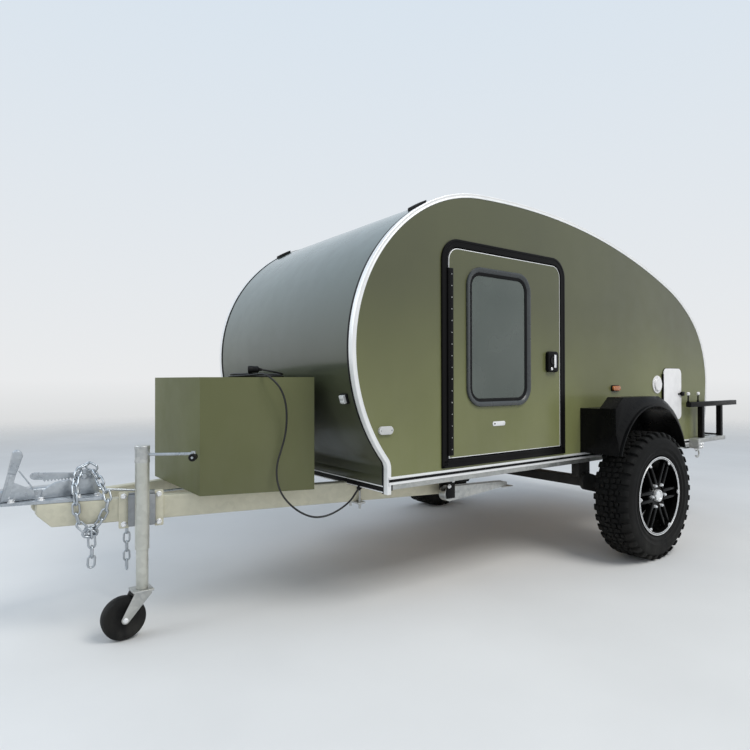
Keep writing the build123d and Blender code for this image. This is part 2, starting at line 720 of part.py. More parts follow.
def tyre(side):
    """A many-sided carcass with three staggered rows of lugs, and a bore for the rim."""
    half = TYRE_WIDTH / 2
    tread = WHEEL_RADIUS - LUG_DEPTH
    edge = half - SIDEWALL_SLOPE
    inner = edge - SHOULDER_LUG
    centre = inner - LUG_GROOVE
    bore = RIM_RADIUS + RUN
    left = loft([many_sided(SIDEWALL_TOP, -half), many_sided(tread, -edge)], ruled=True)
    right = loft([many_sided(tread, edge), many_sided(SIDEWALL_TOP, half)], ruled=True)
    whole = left + right
    for y0, y1, stagger in ((-edge, -inner, 0), (-centre, centre, 1), (inner, edge, 0)):
        whole += lug_row(y0, y1, stagger)
    for y0, y1 in ((-inner, -centre), (centre, inner)):
        whole += extrude(many_sided(tread, y0), amount=y1 - y0, dir=(0, 1, 0))
    flat = half - BEAD_SLOPE
    whole -= extrude(many_sided(bore, -half - 1), amount=TYRE_WIDTH + 2, dir=(0, 1, 0))
    for end in (-1, 1):
        whole -= loft([many_sided(bore, end * flat), many_sided(BEAD_OUTER, end * half)], ruled=True)
    return Pos(0, side * WHEEL_MID_Y, WHEEL_RADIUS) * whole


def rim(side):
    """Barrel with a flat front ring, split spokes, hub, cap and the brake drum behind."""
    face = side * RIM_FACE_Y
    back = side * (WHEEL_MID_Y - TYRE_WIDTH / 2 + BEAD_SLOPE)
    centre = Pos(0, WHEEL_RADIUS)
    barrel = slab(centre * (Circle(RIM_RADIUS) - Circle(RIM_RADIUS - RIM_BARREL)),
                  min(face, back), max(face, back))
    disc0, disc1 = side * (RIM_FACE_Y - DISC_SET_IN - DISC_DEPTH), side * (RIM_FACE_Y - DISC_SET_IN)
    ring = slab(centre * (Circle(RIM_RADIUS - 1) - Circle(RIM_RADIUS - RIM_RING)),
                min(face, disc0), max(face, disc0))
    spokes = centre * Circle(HUB_RADIUS)
    for number in range(SPOKE_PAIRS):
        turned = Rot(0, 0, number * 360 / SPOKE_PAIRS)
        for lean in (-1, 1):
            spokes += centre * turned * Pos(RIM_RADIUS / 2, lean * SPOKE_SPREAD) * Rot(
                0, 0, lean * SPOKE_LEAN) * Rectangle(RIM_RADIUS - RIM_BARREL, SPOKE_WIDTH)
    wheel = barrel + ring + slab(spokes, min(disc0, disc1), max(disc0, disc1)) + drum(side)
    wheel -= rod((0, 0, WHEEL_RADIUS), (0, disc1, WHEEL_RADIUS), STUB_RADIUS + STUB_FIT)
    cap = side * (RIM_FACE_Y - 2)
    wheel += slab(centre * Circle(CAP_RADIUS), min(disc1, cap), max(disc1, cap))
    return wheel


def fender(side):
    """Ledge and hood with a bevelled flare, cut by the round arch with a thin lip at its edge."""
    ledge_y, side_y, outer_y = side * FENDER_LEDGE_Y, side * FENDER_SIDE_Y, side * FENDER_OUTER_Y
    outline = make_face(Polyline(HOOD_CORNERS, close=True))
    hood = slab(outline, min(ledge_y, side_y), max(ledge_y, side_y))
    cone = Cone(FLARE_FOOT_RADIUS, FLARE_EDGE_RADIUS, FENDER_OUTER_Y - FENDER_SIDE_Y)
    middle = Pos(ARCH_X, (side_y + outer_y) / 2, ARCH_Z)
    flare = middle * Rot(-side * 90, 0, 0) * cone
    hood += flare & slab(outline, min(side_y, outer_y), max(side_y, outer_y))
    front_x, rear_x = HOOD_CORNERS[0][0], HOOD_CORNERS[-1][0]
    ledge = block(front_x, rear_x, side * HALF_WIDTH, ledge_y, FENDER_FOOT_Z, FENDER_LEDGE_Z)
    arch = Pos(ARCH_X, ARCH_Z)
    lip_ring = arch * (Circle(ARCH_RADIUS + FENDER_WALL) - Circle(ARCH_RADIUS)) & region(
        front_x, rear_x, FENDER_FOOT_Z, BIG)
    lip_y = outer_y + side * FENDER_LIP
    lip = slab(lip_ring, min(outer_y, lip_y), max(outer_y, lip_y))
    well = arch * Circle(ARCH_RADIUS) + region(ARCH_X - ARCH_RADIUS, ARCH_X + ARCH_RADIUS, 0, ARCH_Z)
    well0, well1 = side * (HALF_WIDTH + FENDER_WALL), side * (FENDER_OUTER_Y + 1)
    return hood + ledge - slab(well, min(well0, well1), max(well0, well1)) + lip


def box_outline(shrink, z0, z1):
    """The front box in plan: sides run with the drawbar beams."""
    corners = [
        (BOX_FRONT_X + shrink, -(BOX_FRONT_HALF - shrink)),
        (BOX_REAR_X - shrink, -(BOX_REAR_HALF - shrink)),
        (BOX_REAR_X - shrink, BOX_REAR_HALF - shrink),
        (BOX_FRONT_X + shrink, BOX_FRONT_HALF - shrink),
    ]
    plan = make_face(Polyline(corners, close=True))
    return extrude(Plane.XY.offset(z0) * plan, amount=z1 - z0)


def box_side():
    """Plane on the box's right side, its X rearward along the side and its Y up."""
    run = math.hypot(BOX_REAR_HALF - BOX_FRONT_HALF, BOX_REAR_X - BOX_FRONT_X)
    along = ((BOX_REAR_X - BOX_FRONT_X) / run, (BOX_REAR_HALF - BOX_FRONT_HALF) / run, 0)
    outward = (-along[1], along[0], 0)
    plane = Plane(origin=(BOX_FRONT_X, BOX_FRONT_HALF, BEAM_TOP_Z), x_dir=along, z_dir=outward)
    return plane, run


def box_side_block(x0, x1, z0, z1, out0, out1):
    """A block on the box's right side, from x0 to x1 along it and out0 to out1 off it."""
    plane, run = box_side()
    flip = 1 if plane.y_dir.Z > 0 else -1
    middle = Pos((x0 + x1) / 2, flip * (z0 + z1) / 2, (out0 + out1) / 2)
    return plane.location * middle * Box(x1 - x0, z1 - z0, out1 - out0)


def box_hinge_axis():
    plane, run = box_side()
    along = BOX_DOOR_MARGIN - BOX_DOOR_LAP - HINGE_PIN_RADIUS - HINGE_SEAT
    place = plane.origin + plane.x_dir * along + plane.z_dir * (HINGE_PIN_RADIUS + RUN)
    return place.X, place.Y


def front_box():
    height = BOX_TOP_Z - BEAM_TOP_Z
    plane, run = box_side()
    margin = BOX_DOOR_MARGIN
    lapped = margin - BOX_DOOR_LAP
    case = box_outline(0, BEAM_TOP_Z, BOX_TOP_Z)
    case -= box_outline(BOX_WALL, BEAM_TOP_Z + BOX_WALL, BOX_TOP_Z - BOX_WALL)
    case -= box_side_block(margin, run - margin, margin, height - margin, -3 * BOX_WALL, BOX_WALL)
    x, y = box_hinge_axis()
    low, high = BEAM_TOP_Z + margin + 40, BOX_TOP_Z - margin - 40
    case += rod((x, y, low), (x, y, high), HINGE_PIN_RADIUS)
    barrel = lapped - HINGE_PIN_RADIUS - HINGE_SEAT
    case += box_side_block(barrel - 9, barrel, margin + 40, height - margin - 40, -1,
                           HINGE_PIN_RADIUS)
    door = box_side_block(lapped, run - lapped, lapped, height - lapped, RUN, RUN + BOX_DOOR_THICK)
    return case, door


def side_plate(corners, y, thick):
    """A plate drawn in X and Z, centred on a place y."""
    return slab(make_face(Polyline(corners, close=True)), y - thick / 2, y + thick / 2)


def coupler():
    """Overrun coupler: a plate over the beams, its channel, the drawtube and the ball head."""
    plate_top = BEAM_TOP_Z + COUPLER_PLATE
    front_half, rear_half = beam_outer_y(COUPLER_FRONT_X), beam_outer_y(COUPLER_REAR_X)
    plan = make_face(Polyline([
        (COUPLER_FRONT_X, -front_half), (COUPLER_REAR_X, -rear_half),
        (COUPLER_REAR_X, rear_half), (COUPLER_FRONT_X, front_half)], close=True))
    body = extrude(Plane.XY.offset(BEAM_TOP_Z) * plan, amount=COUPLER_PLATE)
    channel = block(COUPLER_FRONT_X, COUPLER_REAR_X, -COUPLER_HALF, COUPLER_HALF, plate_top,
                    COUPLER_TOP_Z)
    body += fillet(channel.edges().filter_by(Axis.X).group_by(Axis.Z)[-1], COUPLER_PLATE)
    tube_z = (plate_top + COUPLER_TOP_Z) / 2
    head_rear = NOSE_X + HEAD_LENGTH
    body += rod((head_rear - 10, 0, tube_z), (COUPLER_FRONT_X, 0, tube_z), DRAWTUBE_RADIUS)
    body += rod((COUPLER_FRONT_X - BELLOWS_LENGTH, 0, tube_z), (COUPLER_FRONT_X, 0, tube_z),
                BELLOWS_RADIUS)
    head = block(NOSE_X, head_rear, -HEAD_HALF, HEAD_HALF, BALL_Z - HEAD_BELOW, BALL_Z + HEAD_ABOVE)
    head = fillet(head.edges().filter_by(Axis.Z), 18)
    head += side_plate(HEAD_HANDLE, 0, GRIP_THICK)
    ball_x = NOSE_X + BALL_BACK
    head -= Pos(ball_x, 0, BALL_Z - 12) * Sphere(BALL_RADIUS + BALL_FIT)
    head -= Pos(ball_x, 0, BALL_Z - 42) * Cylinder(BALL_RADIUS + BALL_FIT, 60)
    return body + head


def handbrake():
    """Parking brake on the coupler plate: lever, bracket and strut, toothed bar, pivot plate."""
    lever = side_plate(LEVER, LEVER_Y, LEVER_THICK) + side_plate(LEVER_GRIP, LEVER_Y, GRIP_THICK)
    lever += side_plate(LEVER_BRACKET, LEVER_Y, LEVER_THICK / 2)
    (x0, z0), (x1, z1) = STRUT
    lever += rod((x0, LEVER_Y, z0), (x1, LEVER_Y, z1), STRUT_RADIUS)
    bar = side_plate(TOOTHED_BAR, LEVER_Y, LEVER_THICK)
    bar += side_plate(PIVOT_PLATE, LEVER_Y, LEVER_THICK)
    x, z = BAR_PIVOT
    bar += rod((x, LEVER_Y - GRIP_THICK / 2, z), (x, -LEVER_THICK, z), BAR_PIVOT_RADIUS)
    return Compound(children=[lever, bar])


def spaced(places, spacing):
    """Points at equal spacing along a smooth line through some places."""
    line = Spline(*places) if len(places) > 2 else Line(*places)
    count = max(2, round(line.length / spacing))
    return [line @ (number / count) for number in range(count + 1)]


def chain_link(start, end, turned):
    """One square link between two points, turned a quarter for every second one."""
    along = end - start
    upright = Vector(0, 1, 0) if abs(along.normalized().Y) < 0.8 else Vector(1, 0, 0)
    side = along.cross(upright).normalized()
    normal = side if turned else along.cross(side).normalized()
    plane = Plane(origin=(start + end) * 0.5, x_dir=along, z_dir=normal)
    length = along.length + 2 * CHAIN_BAR - CHAIN_LAP
    ring = Rectangle(length, CHAIN_WIDTH)
    ring -= Rectangle(length - 2 * CHAIN_BAR, CHAIN_WIDTH - 2 * CHAIN_BAR)
    return plane.location * extrude(ring, amount=CHAIN_BAR / 2, both=True)


def chain(places):
    points = spaced(places, CHAIN_PITCH)
    links = None
    for number, (start, end) in enumerate(zip(points, points[1:])):
        link = chain_link(start, end, number % 2 == 1)
        links = link if links is None else links + link
    return links


def safety_chains():
    """The left chain is looped over the coupler and hooked up; the right one hangs free."""
    x, y = CHAIN_EYE
    loop = chain(CHAIN_LOOP) + chain(CHAIN_TAIL)
    half_x, half_y = CHAIN_EYE_HALF
    loop += block(x - half_x, x + half_x, y - half_y, y + half_y, BEAM_TOP_Z + COUPLER_PLATE,
                  CHAIN_EYE_TOP_Z)
    right_y = beam_outer_y(RIGHT_CHAIN_X) - BEAM_WIDTH / 2
    low = BEAM_TOP_Z - BEAM_DEPTH
    top = low - RIGHT_EYE_DROP + CHAIN_BAR / 2
    right = chain([(RIGHT_CHAIN_X, right_y, top), (RIGHT_CHAIN_X, right_y, RIGHT_CHAIN_LOW_Z)])
    half_x, half_y = RIGHT_EYE_HALF
    right += block(RIGHT_CHAIN_X - half_x, RIGHT_CHAIN_X + half_x, right_y - half_y,
                   right_y + half_y, low - RIGHT_EYE_DROP, low)
    return Compound(children=[loop, right])


def jockey_y():
    return -(beam_outer_y(JOCKEY_X) + JOCKEY_TUBE_RADIUS + 34)


def jockey_clamp():
    """Flanged saddle bolted to the beam's side, with a ring round the jockey tube."""
    y = jockey_y()
    middle_z = BEAM_TOP_Z - BEAM_DEPTH / 2
    ring = Pos(JOCKEY_X, y, middle_z) * Cylinder(JOCKEY_TUBE_RADIUS + 9, JOCKEY_RING_HEIGHT)
    angle = BEAM_ANGLE
    plane = Plane(origin=(JOCKEY_X, -beam_outer_y(JOCKEY_X), middle_z),
                  x_dir=(math.cos(angle), -math.sin(angle), 0),
                  z_dir=(-math.sin(angle), -math.cos(angle), 0))
    long, tall, thick = JOCKEY_FLANGE
    flange = plane.location * Pos(0, 0, thick / 2) * Box(long, tall, thick)
    long, tall, deep = JOCKEY_SADDLE
    saddle = plane.location * Pos(0, 0, thick - 2 + deep / 2) * Box(long, tall, deep)
    tube = Pos(JOCKEY_X, y, middle_z) * Cylinder(JOCKEY_TUBE_RADIUS, 200)
    return (ring + flange + saddle) - tube


def jockey():
    y = jockey_y()
    height = JOCKEY_TOP_Z - JOCKEY_TUBE_BOTTOM_Z
    tube = Pos(JOCKEY_X, y, JOCKEY_TUBE_BOTTOM_Z + height / 2) * (
        Cylinder(JOCKEY_TUBE_RADIUS, height)
        - Pos(0, 0, -20) * Cylinder(JOCKEY_LEG_RADIUS + RUN, height))
    arm_z, grip_z = JOCKEY_TOP_Z - CRANK_DROP, JOCKEY_TOP_Z - CRANK_GRIP_DROP
    turn = math.radians(CRANK_TURN)
    along = Vector(math.cos(turn), -math.sin(turn), 0)
    across = Vector(math.sin(turn), math.cos(turn), 0)
    root = Vector(JOCKEY_X, y, arm_z) + along * JOCKEY_TUBE_RADIUS
    end = Vector(JOCKEY_X, y, arm_z) + along * CRANK_LENGTH
    crank = rod(tuple(root), tuple(end), CRANK_RADIUS)
    end = Vector(end.X, end.Y, grip_z)
    crank += rod(tuple(end - across * CRANK_GRIP_OUT), tuple(end + across * CRANK_GRIP_IN),
                 CRANK_GRIP_RADIUS)
    leg_top = JOCKEY_TUBE_BOTTOM_Z + 120
    leg = Pos(JOCKEY_X, y, (JOCKEY_FORK_Z + leg_top) / 2) * Cylinder(
        JOCKEY_LEG_RADIUS, leg_top - JOCKEY_FORK_Z)
    axle_x = JOCKEY_X - JOCKEY_TRAIL
    half = JOCKEY_WHEEL_WIDTH / 2
    outer = half + 2 * JOCKEY_CHEEK
    plate_z = JOCKEY_FORK_Z - RUN
    fork = block(JOCKEY_X - 45, JOCKEY_X + 40, y - outer, y + outer, plate_z - JOCKEY_FORK_PLATE,
                 plate_z)
    for s in (-1, 1):
        cheek_plan = make_hull(
            (Pos(JOCKEY_X - 5, JOCKEY_FORK_Z - 12) * Rectangle(70, JOCKEY_FORK_PLATE)).edges()
            + (Pos(axle_x, JOCKEY_WHEEL_RADIUS) * Circle(2 * JOCKEY_AXLE_RADIUS)).edges())
        y0, y1 = y + s * (outer - JOCKEY_CHEEK), y + s * outer
        fork += slab(cheek_plan, min(y0, y1), max(y0, y1))
    fork += rod((axle_x, y - outer, JOCKEY_WHEEL_RADIUS), (axle_x, y + outer, JOCKEY_WHEEL_RADIUS),
                JOCKEY_AXLE_RADIUS)
    widen = 1 / math.cos(math.pi / JOCKEY_WHEEL_SIDES)
    tread = RegularPolygon(JOCKEY_WHEEL_RADIUS * widen, JOCKEY_WHEEL_SIDES,
                           rotation=180 / JOCKEY_WHEEL_SIDES)
    bore = Circle(JOCKEY_AXLE_RADIUS + STEADY_PIN_FIT)
    wheel = slab(Pos(axle_x, JOCKEY_WHEEL_RADIUS) * (tread - bore), y - half, y + half)
    return tube, crank, leg, fork, wheel


def steady_outline(x, fold):
    eye = Pos(x, STEADY_HINGE_Z) * Circle(STEADY_EYE)
    tip = Pos(x + fold * STEADY_LEG, STEADY_HINGE_Z + STEADY_RISE) * Circle(STEADY_TIP)
    return make_hull(eye.edges() + tip.edges())


def steady_leg(x, side, fold):
    """A pressed channel, open upwards, with a round hinge end and a foot plate."""
    y = side * STEADY_Y
    outline = steady_outline(x, fold)
    leg = slab(outline, y - STEADY_HALF, y + STEADY_HALF)
    hollow = offset(outline, -STEADY_SHEET)
    inner = STEADY_HALF - STEADY_SHEET
    for lift in (0, STEADY_TIP, STEADY_EYE, 2 * STEADY_EYE):
        leg -= slab(Pos(0, lift) * hollow, y - inner, y + inner)
    foot_z = STEADY_HINGE_Z + STEADY_RISE - STEADY_TIP
    tip_x = x + fold * STEADY_LEG
    leg += block(tip_x - STEADY_FOOT, tip_x + STEADY_FOOT, y - STEADY_FOOT, y + STEADY_FOOT,
                 foot_z - STEADY_SHEET, foot_z + 1)
    bore = STEADY_PIN_RADIUS + STEADY_PIN_FIT
    return leg - rod((x, y - STEADY_FOOT, STEADY_HINGE_Z), (x, y + STEADY_FOOT, STEADY_HINGE_Z), bore)


def steady_bracket(x, side):
    y = side * STEADY_Y
    inner = STEADY_HALF + STEADY_CHEEK_GAP
    outer = inner + STEADY_CHEEK
    half, low, top = STEADY_BRACKET_HALF, STEADY_HINGE_Z - STEADY_HALF, FLOOR_Z - CHASSIS_DEPTH
    bracket = rod((x, y - outer, STEADY_HINGE_Z), (x, y + outer, STEADY_HINGE_Z), STEADY_PIN_RADIUS)
    for s in (-1, 1):
        bracket += block(x - half, x + half, y + s * inner, y + s * outer, low, top)
    bracket += block(x - half, x + half, y - side * outer, side * (HALF_WIDTH - RAIL_INSET),
                     top - 2 * STEADY_SHEET, top)
    return bracket


def bumper():
    z0, z1 = BUMPER_Z, BUMPER_Z + BUMPER_HEIGHT
    half = RACK_Y + BUMPER_REACH
    beam = block(BUMPER_X, BUMPER_X + BUMPER_DEPTH, -half, half, z0, z1)
    for side in (-1, 1):
        wall = side * (HALF_WIDTH + SILL_PROUD + 1)
        beam += block(BUMPER_ARM_X, BUMPER_X, wall, side * half, z0, z1)
        length, drop = BUMPER_BRACKET
        beam += block(BUMPER_ARM_X, BUMPER_ARM_X + length, wall, side * half, z0 - drop, z0)
        inner = side * (HALF_WIDTH - RAIL_INSET - CHASSIS_BAR)
        beam += block(TAIL_FOOT_X, BUMPER_X, inner, inner - side * BUMPER_ARM, BUMPER_ARM_Z,
                      z0 + BUMPER_ARM_LAP)
    return beam


def side_racks():
    racks = []
    for side in (-1, 1):
        y = side * RACK_Y
        half = RACK_BAR / 2
        rack = block(RACK_FRONT_X, RACK_REAR_X, y - half, y + half, RACK_Z - half, RACK_Z + half)
        for x in RACK_POSTS:
            rack += block(x - half, x + half, y - half, y + half, BUMPER_Z + BUMPER_HEIGHT,
                          RACK_Z - half)
        racks.append(rack)
    return Compound(children=racks)


def roof_feet():
    """Low black pads for a roof rack, with a back cut to the bend of the skin."""
    z = roof_height(ROOF_FOOT_X)
    half = ROOF_FOOT_LENGTH / 2
    foot = region(ROOF_FOOT_X - half, ROOF_FOOT_X + half, z - ROOF_FOOT_HEIGHT,
                  z + ROOF_FOOT_HEIGHT) - OUTLINE
    foot &= offset(OUTLINE, ROOF_FOOT_THICK, kind=Kind.INTERSECTION)
    feet = []
    for side in (-1, 1):
        y = side * ROOF_FOOT_Y
        feet.append(slab(foot, y - ROOF_FOOT_WIDTH / 2, y + ROOF_FOOT_WIDTH / 2))
    return Compound(children=feet)


def beam_clamps():
    """Bolts and plates that hold the drawbar beams up against the front chassis bar."""
    clamps = []
    x = FRONT_FOOT_X + SKIN + CHASSIS_BAR / 2
    low = BEAM_TOP_Z - BEAM_DEPTH
    for side in (-1, 1):
        outer = beam_outer_y(x) + CLAMP_OUT
        inner = beam_outer_y(x) - BEAM_WIDTH - CLAMP_LAP
        plate_z = low - RUN
        clamp = block(x - CLAMP_HALF, x + CLAMP_HALF, side * (outer + CLAMP_LAP),
                      side * (inner - CLAMP_LAP), plate_z - CLAMP_PLATE, plate_z)
        for y in (side * outer, side * inner):
            clamp += rod((x, y, low - CLAMP_BOLT_TAIL), (x, y, BEAM_TOP_Z), CLAMP_BOLT)
            nut = extrude(RegularPolygon(CLAMP_NUT, 6), CLAMP_NUT)
            clamp += Pos(x, y, plate_z - CLAMP_PLATE - CLAMP_NUT / 2) * nut
        clamps.append(clamp)
    return Compound(children=clamps)


def lead_path():
    """Straight runs joined by arcs as large as the two runs beside each corner allow."""
    points = [Vector(*point) for point in LEAD_ROUTE]
    radii = []
    for before, corner, after in zip(points, points[1:], points[2:]):
        turn = math.radians((corner - before).get_angle(after - corner))
        shorter = min((corner - before).length, (after - corner).length)
        radii.append(0.45 * shorter / math.tan(turn / 2))
    return FilletPolyline(*points, radius=radii)


def lead():
    path = lead_path()
    start = Plane(origin=path @ 0, z_dir=path % 0)
    tube = sweep(start * Circle(LEAD_RADIUS), path=path)
    ring = Circle(COIL_OUTER) - Circle(COIL_INNER)
    coil = extrude(Pos(COIL_X, COIL_Y, BOX_TOP_Z) * ring, amount=COIL_HEIGHT)
    plug_z = BOX_TOP_Z + COIL_HEIGHT + PLUG_RADIUS + RUN
    along = Vector(0.94, -0.34, 0) * (PLUG_LENGTH / 2)
    centre = Vector(PLUG_X, PLUG_Y, plug_z)
    plug = rod(tuple(centre - along), tuple(centre + along), PLUG_RADIUS)
    return tube, coil, plug


def gland():
    """Angled gland under the front apron, where the lead comes out."""
    exit_point = Vector(*LEAD_ROUTE[0])
    out = (Vector(*LEAD_ROUTE[1]) - exit_point).normalized()
    root = exit_point - out * GLAND_LENGTH
    body = rod(tuple(root), tuple(exit_point), GLAND_RADIUS)
    foot = Vector(root.X, root.Y, FLOOR_Z - APRON_DROP)
    return body + rod((foot.X, foot.Y, root.Z - 4), tuple(foot), GLAND_RADIUS)


def side_lamps(x, z, length, height, depth):
    lamp = rounded(x - length / 2, x + length / 2, z - height / 2, z + height / 2,
                   height * 0.45, height * 0.45)
    left = slab(lamp, -HALF_WIDTH - depth, -HALF_WIDTH)
    return [left, other_side(left)]


def front_lamps():
    """Square position lamps on the nose, with a back cut to the bend of the skin."""
    half = FRONT_LAMP_SIZE / 2
    lamps = []
    nose = PROFILE_KNOTS[1][0]
    outside = region(nose - FRONT_LAMP_REACH, nose + FRONT_LAMP_REACH, FRONT_LAMP_Z - half,
                     FRONT_LAMP_Z + half) - OUTLINE
    limit = offset(OUTLINE, FRONT_LAMP_DEPTH, kind=Kind.INTERSECTION)
    for side in (-1, 1):
        y = side * FRONT_LAMP_Y
        lamps.append(slab(outside & limit, y - half, y + half))
    return lamps


def tail_lamps():
    lamps = []
    x = BUMPER_X + BUMPER_DEPTH
    z = BUMPER_Z + BUMPER_HEIGHT / 2
    for side in (-1, 1):
        y = side * TAIL_LAMP_Y
        lamps.append(block(x, x + 26, y - TAIL_LAMP_WIDTH / 2, y + TAIL_LAMP_WIDTH / 2,
                           z - TAIL_LAMP_HEIGHT / 2, z + TAIL_LAMP_HEIGHT / 2))
    return Compound(children=lamps)


def power_inlet():
    return slab(Pos(INLET_X, INLET_Z) * Circle(INLET_RADIUS), -HALF_WIDTH - 16, -HALF_WIDTH)


LENGTH_SHIFT = Pos(-(NOSE_X + RACK_REAR_X) / 2, 0, 0)
NODES = {}


def keep(name, piece):
    NODES[name] = LENGTH_SHIFT * piece


wall_left, wall_right = side_walls()
skin, apron = roof_skin()
floor, bulkhead, counter = interior()
tube, crank, leg, fork, small_wheel = jockey()
case, case_door = front_box()

keep("floor_panel", floor)
keep("side_wall_left", wall_left)
keep("side_wall_right", wall_right)
keep("roof_skin", skin)
keep("front_apron", apron)
keep("rear_hatch", rear_hatch())
keep("body_hinges", Compound(children=[hatch_hinge(), access_hinge()]))
keep("edge_trims", edge_trims())
keep("bulkhead", bulkhead)
keep("galley_counter", counter)
keep("chassis_frame", chassis())
keep("drawbar_beams", drawbar())
keep("coupler", coupler())
keep("handbrake_lever", handbrake())
keep("brake_rod", brake_rod())
keep("safety_chains", safety_chains())
keep("door_frames", Compound(children=[door_frame(), other_side(door_frame())]))
for side_name, turn in (("left", lambda piece: piece), ("right", other_side)):
    keep("door_" + side_name, turn(door_leaf()))
    keep("door_" + side_name + "_glass", turn(window_glass()))
    keep("door_" + side_name + "_fittings", turn(door_fittings()))
keep("access_hatch", access_hatch())
keep("axle", axle())
keep("trailing_arms", Compound(children=[trailing_arm(-1), trailing_arm(1)]))
for side_name, side in (("left", -1), ("right", 1)):
    keep("tyre_" + side_name, tyre(side))
    keep("rim_" + side_name, rim(side))
    keep("fender_" + side_name, fender(side))
keep("front_box", case)
keep("front_box_door", case_door)
keep("jockey_clamp", jockey_clamp())
keep("jockey_tube", tube)
keep("jockey_crank", crank)
keep("jockey_leg", leg)
keep("jockey_fork", fork)
keep("jockey_wheel", small_wheel)
brackets = []
for name, x, side, fold in STEADIES:
    keep("steady_" + name, steady_leg(x, side, fold))
    brackets.append(steady_bracket(x, side))
keep("steady_brackets", Compound(children=brackets))
keep("rear_bumper", bumper())
keep("side_racks", side_racks())
keep("roof_feet", roof_feet())
keep("beam_clamps", beam_clamps())
lead_tube, lead_coil, lead_plug = lead()
keep("lead_tube", lead_tube)
keep("lead_coil", lead_coil)
keep("lead_plug", lead_plug)
keep("lead_gland", gland())
keep("amber_markers", Compound(children=side_lamps(*AMBER_MARKER)))
keep("front_lamps", Compound(children=front_lamps() + side_lamps(*WHITE_MARKER)))
keep("tail_lamps", tail_lamps())
keep("power_inlet", power_inlet())

for name, piece in NODES.items():
    export_step(piece, "parts/" + name + ".step")
    box = piece.bounding_box()
    print(name, [round(v) for v in box.min], [round(v) for v in box.max], round(piece.volume / 1e6, 2))
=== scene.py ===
# %% [markdown]
# # A teardrop trailer, dressed around its construction model
#
# The construction model holds every piece of this small camping trailer at its real size. This
# lesson gives each piece its look: painted panels, bent skin, bright trim, tyres with tread, chains
# and a lead. Nothing is moved.
#
# The frame is in metres: +X to the rear, +Y to the trailer's right, +Z up from the ground.

# %% Load the construction model
import math

import bmesh
import bpy
from mathutils import Matrix, Vector


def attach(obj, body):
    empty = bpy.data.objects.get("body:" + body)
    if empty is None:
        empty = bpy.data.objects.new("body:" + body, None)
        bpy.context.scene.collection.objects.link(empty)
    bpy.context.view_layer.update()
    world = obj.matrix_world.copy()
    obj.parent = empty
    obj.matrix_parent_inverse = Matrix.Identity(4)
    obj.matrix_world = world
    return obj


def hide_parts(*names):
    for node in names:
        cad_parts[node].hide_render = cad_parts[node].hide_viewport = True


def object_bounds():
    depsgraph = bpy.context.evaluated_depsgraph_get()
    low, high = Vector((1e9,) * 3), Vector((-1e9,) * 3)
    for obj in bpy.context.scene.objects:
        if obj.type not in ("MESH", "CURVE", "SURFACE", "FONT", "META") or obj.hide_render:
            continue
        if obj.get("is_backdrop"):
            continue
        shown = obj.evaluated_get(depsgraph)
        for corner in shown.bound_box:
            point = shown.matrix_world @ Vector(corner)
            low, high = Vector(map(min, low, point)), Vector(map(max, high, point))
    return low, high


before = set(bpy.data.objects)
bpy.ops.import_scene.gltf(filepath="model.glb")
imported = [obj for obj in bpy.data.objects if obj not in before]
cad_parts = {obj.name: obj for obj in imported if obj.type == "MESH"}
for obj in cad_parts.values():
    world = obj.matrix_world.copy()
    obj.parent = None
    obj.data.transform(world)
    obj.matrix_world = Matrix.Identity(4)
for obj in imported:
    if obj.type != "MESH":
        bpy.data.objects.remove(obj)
CAD_LOW, CAD_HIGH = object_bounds()
scene = bpy.context.scene
scene.view_settings.view_transform = "Standard"


def put_in_scene(name, data):
    item = bpy.data.objects.new(name, data)
    scene.collection.objects.link(item)
    return item


# %% [markdown]
# ## Camera
#
# The photo was taken at chest height from ahead and to the left. The camera's place and turn were
# solved from it, so that the render can be laid over it. Blender's camera looks down its own -Z
# axis, so a level camera is tipped up by 90 degrees first.

# %% Camera
CAMERA_PLACE = (-2.509, -2.844, 1.080)
CAMERA_YAW, CAMERA_PITCH, CAMERA_ROLL = 36.49, 0.41, 0.09

camera = put_in_scene("camera", bpy.data.cameras.new("camera"))
camera.location = CAMERA_PLACE
camera.rotation_euler = [math.radians(a) for a in (90 + CAMERA_PITCH, CAMERA_ROLL, -CAMERA_YAW)]
camera.data.lens = 28.06
camera.data.sensor_width = 36.0
camera.data.clip_start = 0.05
scene.camera = camera

# %% [markdown]
# ## Node trees
#
# Materials and shape trees are built from one move: add a node, set its values, join its sockets.
# A few short helpers keep each material down to the lines that say something about it.


# %% Helpers for node trees
def fill(tree, node, values):
    """Fills inputs by name or number: an output socket is linked, anything else is a value."""
    for key, value in values.items():
        if isinstance(value, bpy.types.NodeSocket):
            tree.links.new(value, node.inputs[key])
        else:
            node.inputs[key].default_value = value


def add(tree, kind, values=None, out=0, **settings):
    """Adds a node and returns one of its outputs, or the node itself if out is None."""
    node = tree.nodes.new(kind if "Node" in kind else "ShaderNode" + kind)
    for key, value in settings.items():
        setattr(node, key, value)
    fill(tree, node, values or {})
    return node if out is None else node.outputs[out]


def maths(tree, operation, *values, clamp=False):
    return add(tree, "Math", dict(enumerate(values)), operation=operation, use_clamp=clamp)


def noise(tree, place, scale, detail, **more):
    return add(tree, "TexNoise", {"Vector": place, "Scale": scale, "Detail": detail, **more}, "Fac")


def spread(tree, value, low, high, from_low=0.3, from_high=0.7, **settings):
    """Turns a value into a range, as for roughness."""
    return add(tree, "MapRange", {"Value": value, "From Min": from_low, "From Max": from_high,
                                  "To Min": low, "To Max": high}, **settings)


def mix_colour(tree, mask, first, second, **settings):
    return add(tree, "Mix", {0: mask, 6: first, 7: second}, 2, data_type="RGBA", **settings)


def height_of(tree, place):
    return add(tree, "SeparateXYZ", {0: place}, "Z")


